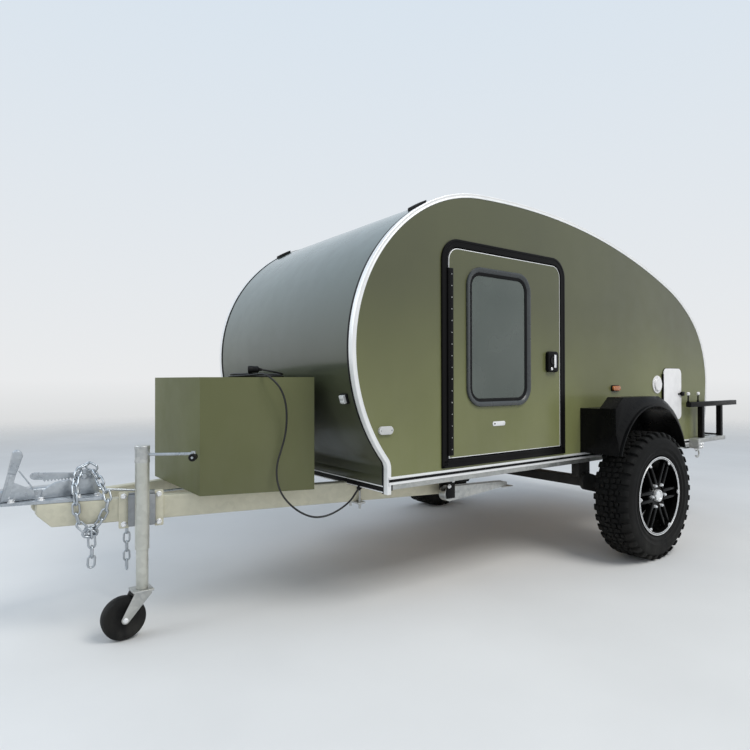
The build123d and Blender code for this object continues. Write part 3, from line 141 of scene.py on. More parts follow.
def ramp(tree, value, *stops):
    """A colour ramp over (position, colour) stops."""
    node = add(tree, "ValToRGB", {"Fac": value}, None)
    steps = node.color_ramp.elements
    for number, (position, colour) in enumerate(stops):
        step = steps[number] if number < 2 else steps.new(position)
        step.position = position
        step.color = (*colour, 1.0)
    return node.outputs["Color"]


# %% [markdown]
# ## Light
#
# Under a bright, thin sky a glossy panel shows the sky in its upper half and the ground in its lower
# half, so the world fades from the ground over a pale horizon to a soft blue overhead. One broad
# lamp stands in for the veiled sun and a second one for the sky ahead. The camera's, mirrored and
# see-through rays meet a pale backdrop, with some blue overhead for what the bent skin mirrors.

# %% World and lamps
GROUND, HORIZON, ZENITH = (0.42, 0.42, 0.41), (0.84, 0.87, 0.90), (0.56, 0.66, 0.80)
BACKDROP_LOW, BACKDROP_MIDDLE, BACKDROP_TOP = (0.68, 0.69, 0.69), (0.82, 0.83, 0.84), (0.66, 0.76, 0.86)
SKY_STRENGTH = 0.80
LAMP_SIZE = 4.0
# Columns: name, place, aim, power, colour
LAMPS = [("veiled sun", (1.0, -5.5, 7.5), (0.2, 0.0, 0.8), 420, (1.0, 0.97, 0.92)),
         ("sky bounce", (-6.0, 1.5, 4.5), (-1.2, 0.0, 1.0), 160, (0.86, 0.93, 1.0))]

scene.world = bpy.data.worlds.new("soft sky")
scene.world.use_nodes = True
sky = scene.world.node_tree
sky.nodes.clear()
up = height_of(sky, add(sky, "TexCoord", out="Generated"))
up = add(sky, "MapRange", {"Value": up, "From Min": -1.0})
light = add(sky, "Background", {"Strength": SKY_STRENGTH,
                                "Color": ramp(sky, up, (0.47, GROUND), (0.53, HORIZON), (1.0, ZENITH))})
backdrop = add(sky, "Background", {"Color": ramp(sky, up, (0.46, BACKDROP_LOW), (0.50, BACKDROP_MIDDLE),
                                                 (0.85, BACKDROP_TOP))})
rays = add(sky, "LightPath", out=None).outputs
seen = maths(sky, "MAXIMUM", rays["Is Camera Ray"], rays["Is Glossy Ray"])
seen = maths(sky, "MAXIMUM", seen, rays["Is Transmission Ray"])
picked = add(sky, "MixShader", {"Fac": seen, 1: light, 2: backdrop})
add(sky, "OutputWorld", {"Surface": picked}, None)
for name, place, aim, power, colour in LAMPS:
    lamp = put_in_scene(name, bpy.data.lights.new(name, "AREA"))
    lamp.data.size = LAMP_SIZE
    lamp.data.energy = power
    lamp.data.color = colour
    lamp.location = place
    lamp.rotation_euler = (Vector(aim) - Vector(place)).to_track_quat("-Z", "Y").to_euler()

# %% [markdown]
# ## Effects that several finishes share
#
# Fine dust settles low down and in faint streaks, so one group gives a mask from the height over the
# ground and a soft noise. Sprayed paint and bent sheet are never flat, so a second group gives the
# height of a fine ripple with a slow wave.


# %% Dust and surface height
def shader_group(name, output, **numbers):
    """A group with a place, named numbers and one output: its tree, inputs and result socket."""
    group = bpy.data.node_groups.new(name, "ShaderNodeTree")
    group.interface.new_socket("Place", in_out="INPUT", socket_type="NodeSocketVector")
    for title, value in numbers.items():
        socket = group.interface.new_socket(title.replace("_", " "), in_out="INPUT",
                                            socket_type="NodeSocketFloat")
        socket.default_value = value
    group.interface.new_socket(output, in_out="OUTPUT", socket_type="NodeSocketFloat")
    taken = group.nodes.new("NodeGroupInput").outputs
    return group, taken, group.nodes.new("NodeGroupOutput").inputs[output]


DUST, taken, given = shader_group("dust film", "Mask", Low=0.3, High=1.0, Amount=0.4, Scale=6.0)
low_down = add(DUST, "MapRange", {"Value": height_of(DUST, taken["Place"]), "From Min": taken["High"],
                                  "From Max": taken["Low"]}, interpolation_type="SMOOTHSTEP")
streaks = add(DUST, "Mapping", {"Vector": taken["Place"], "Scale": (1.0, 1.0, 0.35)})
patches = noise(DUST, streaks, taken["Scale"], 5.0, Roughness=0.62)
film = maths(DUST, "MULTIPLY", low_down, spread(DUST, patches, 0.0, 1.0, 0.38, 0.72))
DUST.links.new(maths(DUST, "MULTIPLY", film, taken["Amount"], clamp=True), given)

SKIN_HEIGHT, taken, given = shader_group("surface height", "Height", Fine_scale=350.0, Fine=0.5,
                                         Wave_scale=2.2, Wave=0.0)
fine = noise(SKIN_HEIGHT, taken["Place"], taken["Fine scale"], 2.0)
wave = noise(SKIN_HEIGHT, taken["Place"], taken["Wave scale"], 1.0)
ripples = [maths(SKIN_HEIGHT, "MULTIPLY", fine, taken["Fine"]),
           maths(SKIN_HEIGHT, "MULTIPLY", wave, taken["Wave"])]
SKIN_HEIGHT.links.new(maths(SKIN_HEIGHT, "ADD", *ripples), given)

# %% What every material starts from
FINISH = {}
YARD_DUST = (0.42, 0.40, 0.35, 1.0)


def start_material(name):
    """A node material for the table: its tree, its shader and the place on the piece in metres."""
    FINISH[name] = bpy.data.materials.new(name)
    FINISH[name].use_nodes = True
    tree = FINISH[name].node_tree
    tree.nodes.clear()
    shader = add(tree, "BsdfPrincipled", out=None)
    add(tree, "OutputMaterial", {"Surface": shader.outputs[0]}, None)
    return tree, shader, add(tree, "TexCoord", out="Object")


def dusted(tree, place, base, amount, scale, low, high):
    """A colour with dust on it, and the dust's mask."""
    mask = add(tree, "Group", {"Place": place, "Low": low, "High": high, "Amount": amount,
                               "Scale": scale}, node_tree=DUST)
    return mix_colour(tree, mask, base, YARD_DUST), mask


def clouded(tree, cloud, colour, deep, pale):
    """A colour that a noise varies between two shares of it."""
    tones = [tuple(min(1.0, c * share) for c in colour) + (1.0,) for share in (deep, pale)]
    return mix_colour(tree, spread(tree, cloud, 0.0, 1.0), *tones)


def rippled(tree, place, **values):
    values = {key.replace("_", " "): value for key, value in values.items()}
    return add(tree, "Group", {"Place": place, **values}, node_tree=SKIN_HEIGHT)


def bump(tree, shader, height, distance, strength):
    normal = add(tree, "Bump", {"Height": height, "Distance": distance, "Strength": strength})
    fill(tree, shader, {"Normal": normal})


# %% [markdown]
# ## Paints and coatings
#
# The side panels are a satin olive green. The bent skin is the same family of green, but glossier
# and slightly wavy. The fenders, frames and rails are black. Panels are paler and duller low down,
# where the yard's dust settles and their coat thins. Their colour is also darkened towards the top,
# a painted shade for the light that the ground throws back onto the lower panel. One function makes
# them all from a short table.

# %% Paints
# Columns: colour low down, share of it high up (a painted shade that darkens the upper panel),
# roughness, coat low and high, coat index, specular, ripple scale, ripple, wave, dust amount, and the
# coat's tint where it has one
PAINTS = {
    "olive panel": ((0.160, 0.170, 0.066), 0.42, 0.42, 0.30, 0.60, 1.5, 0.35, 260.0, 0.35, 0.45, 0.10),
    "olive box": ((0.123, 0.129, 0.062), 1.0, 0.50, 0.0, 0.0, 1.5, 0.10, 240.0, 0.40, 0.50, 0.08),
    "green skin": ((0.045, 0.048, 0.026), 0.8, 0.34, 0.06, 1.0, 2.0, 0.35, 300.0, 0.15, 0.60, 0.04,
                   (0.80, 0.97, 1.0, 1.0)),
    "black moulding": ((0.0025, 0.0025, 0.0028), 1.0, 0.26, 0.02, 0.02, 1.5, 0.09, 420.0, 0.50, 0.20, 0.02),
    "black frame": ((0.0030, 0.0027, 0.0029), 1.0, 0.32, 0.02, 0.02, 1.5, 0.10, 500.0, 0.20, 0.0, 0.015),
    "black steel": ((0.0050, 0.0050, 0.0055), 1.0, 0.48, 0.0, 0.0, 1.5, 0.12, 380.0, 0.60, 0.0, 0.08),
}
RIPPLE_DEPTH = 0.0048
# Heights in metres between which the painted shade darkens the colour to its high-up share
PAINTED_SHADE_LOW, PAINTED_SHADE_HIGH = 0.80, 1.60


def make_paint(name, colour, high, roughness, matt, coat, index, specular, scale, ripple, wave, dust,
               tint=(1.0, 1.0, 1.0, 1.0)):
    tree, shader, place = start_material(name)
    up = add(tree, "MapRange", {"Value": height_of(tree, place), "From Min": PAINTED_SHADE_LOW,
                                "From Max": PAINTED_SHADE_HIGH}, interpolation_type="SMOOTHSTEP")
    paint = clouded(tree, noise(tree, place, 1.3, 3.0), colour, 0.86, 1.12)
    # Painted shade: higher up, the colour is multiplied down to its high-up share
    paint = mix_colour(tree, up, paint, (high, high, high, 1.0), blend_type="MULTIPLY")
    paint, mask = dusted(tree, place, paint, dust, 3.5, 0.45, 1.35)
    rough = spread(tree, noise(tree, place, 9.0, 4.0), roughness - 0.04, roughness + 0.06)
    fill(tree, shader, {
        "Base Color": paint, "Coat Weight": coat, "Coat Roughness": roughness * 0.4, "Coat IOR": index,
        "Coat Tint": tint, "Specular IOR Level": specular,
        "Roughness": maths(tree, "MULTIPLY_ADD", mask, 0.35, rough, clamp=True)})
    if matt != coat:
        fill(tree, shader, {"Coat Weight": spread(tree, up, matt, coat, 0.0, 1.0)})
    height = rippled(tree, place, Fine_scale=scale, Fine=ripple * 0.05, Wave=wave)
    bump(tree, shader, height, RIPPLE_DEPTH, 0.35)


for name, row in PAINTS.items():
    make_paint(name, *row)

# %% [markdown]
# ## Metals, plastics, glass and rubber
#
# Hot-dip zinc shows a patchwork of crystals in slightly different greys, so a Voronoi pattern shifts
# its colour and its gloss. Aluminium trim is smoother, and the moulded plastics and rubbers have a
# fine grain. Lamp lenses are coloured and clear, and the boards have long grain.

# %% Zinc and bright metal
# Columns: pale and deep tone, roughness, crystals, dust, metallic share, ripple
ZINCS = {
    "galvanised": ((0.62, 0.62, 0.59, 1.0), (0.36, 0.37, 0.37, 1.0), 0.42, 70.0, 0.35),
    "bright zinc": ((0.52, 0.55, 0.58, 1.0), (0.34, 0.37, 0.40, 1.0), 0.30, 90.0, 0.12, 0.90),
    "beam zinc": ((0.64, 0.61, 0.48, 1.0), (0.50, 0.48, 0.37, 1.0), 0.48, 45.0, 0.12, 0.35),
    "tube zinc": ((0.62, 0.62, 0.56, 1.0), (0.48, 0.48, 0.43, 1.0), 0.34, 45.0, 0.08, 0.6),
    "bright trim": ((0.86, 0.86, 0.85, 1.0), (0.82, 0.82, 0.82, 1.0), 0.34, 25.0, 0.03, 0.45, 0.04),
    "dull steel": ((0.34, 0.35, 0.36, 1.0), (0.22, 0.23, 0.24, 1.0), 0.40, 60.0, 0.10),
    "machined": ((0.90, 0.90, 0.90, 1.0), (0.80, 0.80, 0.80, 1.0), 0.26, 60.0, 0.05, 0.6, 0.10),
}


def make_zinc(name, pale, deep, roughness, crystal, dust, metal=0.85, ripple=0.5):
    tree, shader, place = start_material(name)
    cells = add(tree, "TexVoronoi", {"Vector": place, "Scale": crystal, "Smoothness": 0.35}, "Color",
                feature="SMOOTH_F1")
    cloud = spread(tree, noise(tree, place, 7.0, 5.0, Roughness=0.6), 0.0, 0.6)
    both = maths(tree, "MULTIPLY_ADD", add(tree, "SeparateColor", {0: cells}), 0.45, cloud, clamp=True)
    base, mask = dusted(tree, place, mix_colour(tree, both, deep, pale), dust, 9.0, 0.1, 0.9)
    fill(tree, shader, {"Base Color": base, "Metallic": metal,
                        "Roughness": spread(tree, both, roughness - 0.07, roughness + 0.10, 0.0, 1.0)})
    height = rippled(tree, place, Fine_scale=160.0, Fine=0.5, Wave_scale=30.0, Wave=0.4)
    bump(tree, shader, height, 0.0006, ripple)


for name, row in ZINCS.items():
    make_zinc(name, *row)

# %% Plain mouldings and rubbers
# Columns: colour, roughness, specular, grain, dust, dust from height, dust to height
MOULDINGS = {
    "white plastic": ((0.80, 0.79, 0.79), 0.35, 0.5, 0.15, 0.02, 0.6, 1.2),
    "tyre rubber": ((0.0070, 0.0070, 0.0068), 0.66, 0.12, 0.8, 0.05, -0.1, 0.5),
    "jockey rubber": ((0.0075, 0.0075, 0.0075), 0.60, 0.12, 0.6, 0.08, -0.05, 0.3),
    "seal rubber": ((0.0040, 0.0040, 0.0045), 0.55, 0.14, 0.5, 0.03, 0.4, 1.4),
    "lead sheath": ((0.010, 0.010, 0.011), 0.42, 0.35, 0.5, 0.06, 0.3, 1.4),
    "window ring": ((0.040, 0.045, 0.047), 0.26, 0.50, 0.4, 0.04, 0.7, 1.8),
    "wheel black": ((0.0020, 0.0020, 0.0020), 0.24, 0.10, 0.1, 0.01, 0.0, 0.7),
    "soft black": ((0.0045, 0.0045, 0.0050), 0.50, 0.14, 0.6, 0.03, 0.3, 1.4),
}
for name, (colour, roughness, specular, grain, dust, low, high) in MOULDINGS.items():
    tree, shader, place = start_material(name)
    cloud = noise(tree, place, 14.0, 5.0)
    base, mask = dusted(tree, place, clouded(tree, cloud, colour, 0.93, 1.05), dust, 12.0, low, high)
    fill(tree, shader, {"Base Color": base, "Specular IOR Level": specular,
                        "Roughness": spread(tree, cloud, roughness - 0.05, roughness + 0.08)})
    bump(tree, shader, rippled(tree, place, Fine_scale=600.0, Fine=grain, Wave=0.0), 0.0005, 0.6)

# %% Lenses, glass and plywood
# Columns: colour, roughness, share of clear
LENSES = {"amber lens": ((0.85, 0.24, 0.03), 0.12, 0.35), "red lens": ((0.55, 0.02, 0.02), 0.12, 0.35),
          "white lens": ((0.82, 0.82, 0.80), 0.2, 0.2)}
for name, (colour, roughness, clear) in LENSES.items():
    tree, shader, place = start_material(name)
    ribs = add(tree, "TexWave", {"Vector": place, "Scale": 60.0, "Distortion": 0.0}, "Fac",
               wave_type="BANDS", bands_direction="X")
    deep = tuple(c * 0.6 for c in colour)
    fill(tree, shader, {"Base Color": mix_colour(tree, ribs, (*deep, 1.0), (*colour, 1.0)),
                        "Roughness": roughness, "Transmission Weight": clear, "Coat Weight": 0.6})
    bump(tree, shader, ribs, 0.0004, 0.5)

tree, shader, place = start_material("window glass")
haze = noise(tree, place, 2.5, 3.0)
tint = mix_colour(tree, spread(tree, haze, 0.0, 1.0), (0.070, 0.094, 0.080, 1.0), (0.110, 0.135, 0.118, 1.0))
fill(tree, shader, {"Base Color": tint, "Roughness": spread(tree, haze, 0.06, 0.14), "IOR": 1.49,
                    "Transmission Weight": 0.35, "Coat Weight": 0.5, "Coat Roughness": 0.05})

tree, shader, place = start_material("plywood")
stretch = add(tree, "Mapping", {"Vector": place, "Scale": (1.2, 14.0, 14.0)})
grain = noise(tree, stretch, 3.0, 8.0, Roughness=0.65, Distortion=0.6)
wood = mix_colour(tree, spread(tree, grain, 0.0, 1.0), (0.40, 0.27, 0.15, 1.0), (0.62, 0.46, 0.29, 1.0))
fill(tree, shader, {"Base Color": wood, "Roughness": spread(tree, grain, 0.42, 0.60)})
bump(tree, shader, grain, 0.0006, 0.5)
print(len(FINISH), "finishes")

# %% [markdown]
# ## Floor
#
# The trailer stands on a plain pale floor. It fades into the backdrop, so that the two meet without
# a line, and it keeps the soft shadow under the trailer.

# %% Floor
FLOOR_REACH = 60.0
FADE_FROM, FADE_TO = 5.0, 16.0

tree, shader, place = start_material("pale floor")
cloud = spread(tree, noise(tree, place, 0.8, 6.0), 0.0, 1.0)
reach = add(tree, "VectorMath", {0: place}, "Value", operation="LENGTH")
fill(tree, shader, {
    "Base Color": mix_colour(tree, cloud, (0.66, 0.66, 0.65, 1.0), (0.73, 0.73, 0.72, 1.0)),
    "Roughness": 0.85,
    "Alpha": spread(tree, reach, 1.0, 0.0, FADE_FROM, FADE_TO, interpolation_type="SMOOTHSTEP")})
floor_mesh = bpy.data.meshes.new("floor")
floor_mesh.from_pydata([(x * FLOOR_REACH, y * FLOOR_REACH, 0.0)
                        for x, y in ((-1, -1), (1, -1), (1, 1), (-1, 1))], [], [(0, 1, 2, 3)])
floor_mesh.materials.append(FINISH["pale floor"])
put_in_scene("floor", floor_mesh)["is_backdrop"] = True

# %% [markdown]
# ## Turning meshes into finished pieces
#
# Each piece is built where it belongs, so its object stays at the origin. One function gives a mesh
# its finish and smooth shading, hangs it under the body that carries it, and hides the construction
# node that it stands for.

# %% Piece maker
PIECES = []


def finish_piece(name, mesh, finish, stands_for=(), body="trailer", smooth=38):
    """Puts a mesh in the scene; faces that meet under the smooth angle share their shading."""
    mesh.name = name
    piece = put_in_scene(name, mesh)
    mesh.materials.clear()
    mesh.materials.append(FINISH[finish])
    mesh.polygons.foreach_set("material_index", [0] * len(mesh.polygons))
    mesh.polygons.foreach_set("use_smooth", [True] * len(mesh.polygons))
    mesh.set_sharp_from_angle(angle=math.radians(smooth))
    mesh.update()
    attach(piece, body)
    if stands_for:
        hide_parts(*stands_for)
    PIECES.append(name)
    return piece


def baked(form):
    """The mesh of a finished bmesh."""
    mesh = bpy.data.meshes.new("form")
    form.to_mesh(mesh)
    form.free()
    return mesh


def tidied(mesh, merge=1e-5):
    """Merges doubles and turns every face outwards."""
    form = bmesh.new()
    form.from_mesh(mesh)
    bmesh.ops.remove_doubles(form, verts=form.verts, dist=merge)
    bmesh.ops.recalc_face_normals(form, faces=form.faces)
    return baked(form)


def mesh_from(points, faces, merge=None):
    mesh = bpy.data.meshes.new("form")
    mesh.from_pydata([tuple(p) for p in points], [], faces)
    return tidied(mesh, merge) if merge else mesh


def joined(meshes):
    form = bmesh.new()
    for mesh in meshes:
        form.from_mesh(mesh)
    return baked(form)


def placed(mesh, matrix):
    copy = mesh.copy()
    copy.transform(matrix)
    if matrix.determinant() < 0:
        copy.flip_normals()
    return copy


def at(x, y, z):
    return Matrix.Translation((x, y, z))


def turned(degrees, axis):
    return Matrix.Rotation(math.radians(degrees), 4, axis)


def facing(direction):
    """The turn that carries Z to a direction."""
    return direction.to_track_quat("Z", "Y").to_matrix().to_4x4()


TO_RIGHT = Matrix.Scale(-1, 4, (0, 1, 0))


def both_sides(mesh):
    """A mesh and its mirror image on the trailer's other side."""
    return joined([mesh, placed(mesh, TO_RIGHT)])


def toward_viewer(mesh, y):
    """Stands a mesh made flat on Z = 0 up against a wall that faces the left."""
    return placed(mesh, at(0, y, 0) @ turned(90, "X"))


# %% [markdown]
# ## Small forms
#
# Bolt heads, nuts, caps and the wheel's barrel are turned on a lathe or pressed from rod, so a half
# section spun about an axis makes them. Plates and bars have their edges rounded, because a sawn or
# folded edge always catches a thin line of light. Sections are drawn in millimetres, and everything
# that has a place on the trailer is in metres.

# %% Bars, plates and turned forms
MM = 0.001


def bevel(form, edges, width, segments):
    bmesh.ops.bevel(form, geom=edges, offset=width, segments=segments, profile=0.5, affect="EDGES",
                    clamp_overlap=True)


def lathe(section, steps=32, axis="Z", closed=False):
    """Spins (radius, height) pairs in millimetres about an axis; a radius of 0 closes to a pole."""
    form = bmesh.new()
    rings = []
    for radius, height in section:
        rings.append([form.verts.new((MM * radius * math.cos(2 * math.pi * n / steps),
                                      MM * radius * math.sin(2 * math.pi * n / steps), MM * height))
                      for n in range(steps if radius else 1)])
    pairs = list(zip(rings, rings[1:] + rings[:1])) if closed else list(zip(rings, rings[1:]))
    for low, high in pairs:
        for number in range(steps):
            other = (number + 1) % steps
            if len(low) == 1 and len(high) == 1:
                continue
            if len(low) == 1:
                form.faces.new((low[0], high[other], high[number]))
            elif len(high) == 1:
                form.faces.new((low[number], low[other], high[0]))
            else:
                form.faces.new((low[number], low[other], high[other], high[number]))
    bmesh.ops.recalc_face_normals(form, faces=form.faces)
    mesh = baked(form)
    if axis == "Y":
        mesh.transform(turned(-90, "X"))
    if axis == "X":
        mesh.transform(turned(90, "Y"))
    return mesh


def hex_bolt(across, head, washer, thick=2.5):
    """A hexagon head with a rounded top on a washer, in millimetres, standing on Z = 0."""
    flat = across / 2 / math.cos(math.pi / 6)
    cap = lathe([(0, head + thick), (flat * 0.82, head + thick), (flat, head + thick - 1.5),
                 (flat, thick)], steps=6)
    base = lathe([(washer, 0), (washer, thick * 0.7), (washer - 1, thick), (0, thick)], steps=20)
    return joined([cap, base])


def pan_screw(radius, height):
    """A low domed screw head with a small dimple, in millimetres."""
    return lathe([(0, height * 0.45), (radius * 0.25, height * 0.5), (radius * 0.34, height),
                  (radius * 0.7, height * 0.85), (radius, height * 0.25), (radius, 0)], steps=14)


def box_mesh(x0, x1, y0, y1, z0, z1, round_off, segments=2):
    """A bar or plate with rounded edges."""
    form = bmesh.new()
    for vert in bmesh.ops.create_cube(form, size=1.0)["verts"]:
        vert.co = Vector(((x0 + x1) / 2 + vert.co.x * abs(x1 - x0),
                          (y0 + y1) / 2 + vert.co.y * abs(y1 - y0),
                          (z0 + z1) / 2 + vert.co.z * abs(z1 - z0)))
    bevel(form, form.edges[:], round_off, segments)
    return baked(form)


def plate_mesh(outline, thick, round_off, segments=2):
    """A flat plate from an outline of (x, y) places, standing from Z = 0 up to its thickness."""
    form = bmesh.new()
    base = form.faces.new([form.verts.new((x, y, 0.0)) for x, y in outline])
    raised = bmesh.ops.extrude_face_region(form, geom=[base])
    lifted = [item for item in raised["geom"] if isinstance(item, bmesh.types.BMVert)]
    bmesh.ops.translate(form, verts=lifted, vec=(0, 0, thick))
    bmesh.ops.recalc_face_normals(form, faces=form.faces)
    rim = [edge for edge in form.edges if all(abs(v.co.z - thick) < 1e-7 for v in edge.verts)]
    bevel(form, rim, round_off, segments)
    return baked(form)


def rounded_outline(x0, x1, z0, z1, radius, foot_radius=None, steps=8):
    """A rectangle with rounded corners, as (x, z) places that run clockwise from the lower left."""
    foot = radius if foot_radius is None else foot_radius
    line = []
    # Columns: corner x, corner z, bend radius, way inward in x and z, first angle
    for x, z, bend, in_x, in_z, start in ((x0, z0, foot, 1, 1, 270), (x0, z1, radius, 1, -1, 180),
                                          (x1, z1, radius, -1, -1, 90), (x1, z0, foot, -1, 1, 0)):
        for step in range(steps + 1):
            angle = math.radians(start - 90 * step / steps)
            line.append((x + bend * (in_x + math.cos(angle)), z + bend * (in_z + math.sin(angle))))
    return line


def evaluated(item):
    """The plain mesh that an object's curve or modifiers give."""
    bpy.context.view_layer.update()
    mesh = bpy.data.meshes.new_from_object(item.evaluated_get(bpy.context.evaluated_depsgraph_get()))
    bpy.data.objects.remove(item)
    return mesh


def line_curve(points, closed=False, kind="POLY", radius=0.0, resolution=4):
    """A curve through points, or with them as its control points if it is a NURBS."""
    curve = bpy.data.curves.new("line", "CURVE")
    curve.dimensions = "3D"
    spline = curve.splines.new(kind)
    spline.points.add(len(points) - 1)
    for knot, place in zip(spline.points, points):
        knot.co = (*place, 1.0)
    spline.use_cyclic_u = closed
    curve.bevel_depth = radius
    curve.bevel_resolution = resolution
    curve.use_fill_caps = radius > 0
    return curve


def tube_mesh(points, radius, sides=12):
    """A round bar along a polyline, with closed ends."""
    curve = line_curve(points, radius=radius, resolution=max(1, sides // 4 - 1))
    return tidied(evaluated(put_in_scene("tube", curve)))


# %% [markdown]
# ## Trees that repeat a form
#
# Screws, lugs and chain links are one small form placed many times. A Geometry Nodes tree puts the
# form on each place and turns it. Another tree carries a section along a line. The result is made
# real and given its finish, and then kept as a plain mesh.


# %% Geometry Nodes helpers
def empty_tree(name, **inputs):
    """A tree with named inputs, and its input sockets."""
    tree = bpy.data.node_groups.new(name, "GeometryNodeTree")
    kinds = {"Geometry": "Geometry", **inputs, "Finish": "Material"}
    for title, kind in kinds.items():
        tree.interface.new_socket(title, in_out="INPUT", socket_type="NodeSocket" + kind)
    tree.interface.new_socket("Geometry", in_out="OUTPUT", socket_type="NodeSocketGeometry")
    return tree, tree.nodes.new("NodeGroupInput").outputs


def close_tree(tree, taken, shapes):
    """The last nodes of every tree: real geometry, with its finish."""
    real = add(tree, "GeometryNodeRealizeInstances", {0: shapes})
    coat = add(tree, "GeometryNodeSetMaterial", {"Geometry": real, "Material": taken["Finish"]})
    tree.links.new(coat, tree.nodes.new("NodeGroupOutput").inputs["Geometry"])


def put_form(tree, taken, points, rotation, **more):
    """The form on each point, which ends the tree."""
    form = add(tree, "GeometryNodeObjectInfo", {"Object": taken["Form"], "As Instance": True}, "Geometry")
    close_tree(tree, taken, add(tree, "GeometryNodeInstanceOnPoints", {
        "Points": points, "Instance": form, "Rotation": rotation, **more}))


def spun(tree, axis, direction, own_axis, angle):
    """A rotation that carries an axis to a direction and then turns about it."""
    aim = add(tree, "FunctionNodeAlignRotationToVector", {"Vector": direction}, axis=axis)
    euler = add(tree, "FunctionNodeEulerToRotation", {"Euler": add(tree, "CombineXYZ", {own_axis: angle})})
    return add(tree, "FunctionNodeRotateRotation", {"Rotation": aim, "Rotate By": euler},
               rotation_space="LOCAL")


def run_tree(tree, start, finish, form=None, **values):
    """Runs a tree on a mesh or curve, with a form or profile, and returns the plain mesh."""
    holder = put_in_scene("holder", start)
    modifier = holder.modifiers.new("nodes", "NODES")
    modifier.node_group = tree
    values["Form"] = put_in_scene("form", form)
    values["Finish"] = FINISH[finish]
    for item in tree.interface.items_tree:
        if item.in_out == "INPUT" and item.name in values:
            modifier[item.identifier] = values[item.name]
    mesh = evaluated(holder)
    bpy.data.objects.remove(values["Form"])
    return mesh


# %% A profile carried along a line
SWEEP, taken = empty_tree("sweep along a line", Form="Object", Side="Float")
upright = add(SWEEP, "GeometryNodeSetCurveNormal", {"Curve": taken["Geometry"]}, mode="Z_UP")
profile = add(SWEEP, "GeometryNodeObjectInfo", {"Object": taken["Form"]}, "Geometry")
sweep = add(SWEEP, "GeometryNodeCurveToMesh", {"Curve": upright, "Profile Curve": profile,
                                               "Fill Caps": True})
stand = add(SWEEP, "GeometryNodeTransform", {
    "Geometry": sweep, "Rotation": (math.pi / 2, 0.0, 0.0),
    "Translation": add(SWEEP, "CombineXYZ", {"Y": taken["Side"]})})
close_tree(SWEEP, taken, stand)


def swept(line, profile, side_y, closed=False, finish="bright trim"):
    """Sweeps a profile along a line of (x, z) places that runs clockwise as the left side shows it.

    A profile place is (out of the loop, off the wall towards the viewer), in millimetres."""
    shape = line_curve([(-a * MM, -b * MM, 0.0) for a, b in profile], True)
    path = line_curve([(x, z, 0.0) for x, z in line], closed)
    return tidied(run_tree(SWEEP, path, finish, shape, Side=side_y))


# %% A form on each marked place
SCATTER, taken = empty_tree("form on each place", Form="Object")
marks = {name: add(SCATTER, "GeometryNodeInputNamedAttribute", {"Name": name}, "Attribute", data_type=kind)
         for name, kind in (("facing", "FLOAT_VECTOR"), ("spin", "FLOAT"), ("grow", "FLOAT"))}
put_form(SCATTER, taken, taken["Geometry"], spun(SCATTER, "Z", marks["facing"], "Z", marks["spin"]),
         Scale=marks["grow"])


def scattered(form, places, finish):
    """Places is a list of (point, direction, spin, scale); the form's Z turns to the direction."""
    points = mesh_from([row[0] for row in places], [])
    for column, (title, kind, field) in enumerate((("facing", "FLOAT_VECTOR", "vector"),
                                                   ("spin", "FLOAT", "value"),
                                                   ("grow", "FLOAT", "value")), 1):
        layer = points.attributes.new(title, kind, "POINT")
        for item, row in zip(layer.data, places):
            setattr(item, field, row[column])
    return run_tree(SCATTER, points, finish, form)


# %% Softened copies of construction nodes
def soften(node, body, finish, width, segments, slot=None):
    """A merged copy of a node with its hard edges rounded."""
    form = bmesh.new()
    form.from_mesh(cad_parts[node].data)
    bmesh.ops.remove_doubles(form, verts=form.verts, dist=2e-5)
    bmesh.ops.dissolve_limit(form, angle_limit=math.radians(0.6), verts=form.verts,
                             edges=form.edges, use_dissolve_boundaries=False)
    bevel(form, [edge for edge in form.edges
                 if len(edge.link_faces) == 2 and edge.calc_face_angle(0) > math.radians(32)],
          width, segments)
    finish_piece(node + "_finished", baked(form), finish, [node], body)

# %% [markdown]
# ## The lead
#
# The trailer's lead is one flexible cable. It leaves a gland under the nose, hangs in a bight beside
# the box, climbs the box's side and lies coiled on its top with its plug. All of it is one NURBS
# curve, which gives it the smooth line of a real cable.

# %% The lead's line
LENGTH_SHIFT = 0.940
LEAD_DIAMETER = 0.009
# Places of the hanging part, in metres and before the shift: x, y, z
LEAD_ROUTE = [
    (-1.838, -0.531, 0.552), (-1.859, -0.536, 0.536), (-1.890, -0.546, 0.507),
    (-1.944, -0.542, 0.473), (-2.011, -0.535, 0.448), (-2.078, -0.522, 0.445),
    (-2.136, -0.504, 0.471), (-2.186, -0.492, 0.512), (-2.225, -0.480, 0.564),
    (-2.242, -0.469, 0.627), (-2.239, -0.462, 0.693), (-2.220, -0.469, 0.759),
    (-2.202, -0.477, 0.827), (-2.200, -0.488, 0.904), (-2.209, -0.494, 0.977),
    (-2.230, -0.492, 1.035), (-2.256, -0.477, 1.073), (-2.281, -0.451, 1.100),
    (-2.292, -0.417, 1.107), (-2.315, -0.374, 1.100),
]
COIL_CENTRE = (-2.240, -0.259)
BOX_TOP = 1.090
TURN_STEP = 20.0
# Columns: turned so far in degrees, radius, height over the box's top
COIL_STAGES = [
    (0, 0.1345, 0.0100), (30, 0.1325, 0.0055), (60, 0.1308, 0.0046), (180, 0.1290, 0.0046),
    (300, 0.1262, 0.0046), (360, 0.1232, 0.0046), (420, 0.1188, 0.0046), (600, 0.1170, 0.0046),
    (660, 0.1172, 0.0090), (720, 0.1215, 0.0143), (840, 0.1240, 0.0143), (980, 0.1215, 0.0145),
    (1020, 0.1190, 0.0215), (1060, 0.1140, 0.0352),
]


def staged(turn, column):
    """The value of a column between two stages."""
    for before, after in zip(COIL_STAGES, COIL_STAGES[1:]):
        if turn <= after[0]:
            share = (turn - before[0]) / (after[0] - before[0])
            return before[column] + share * (after[column] - before[column])
    return COIL_STAGES[-1][column]


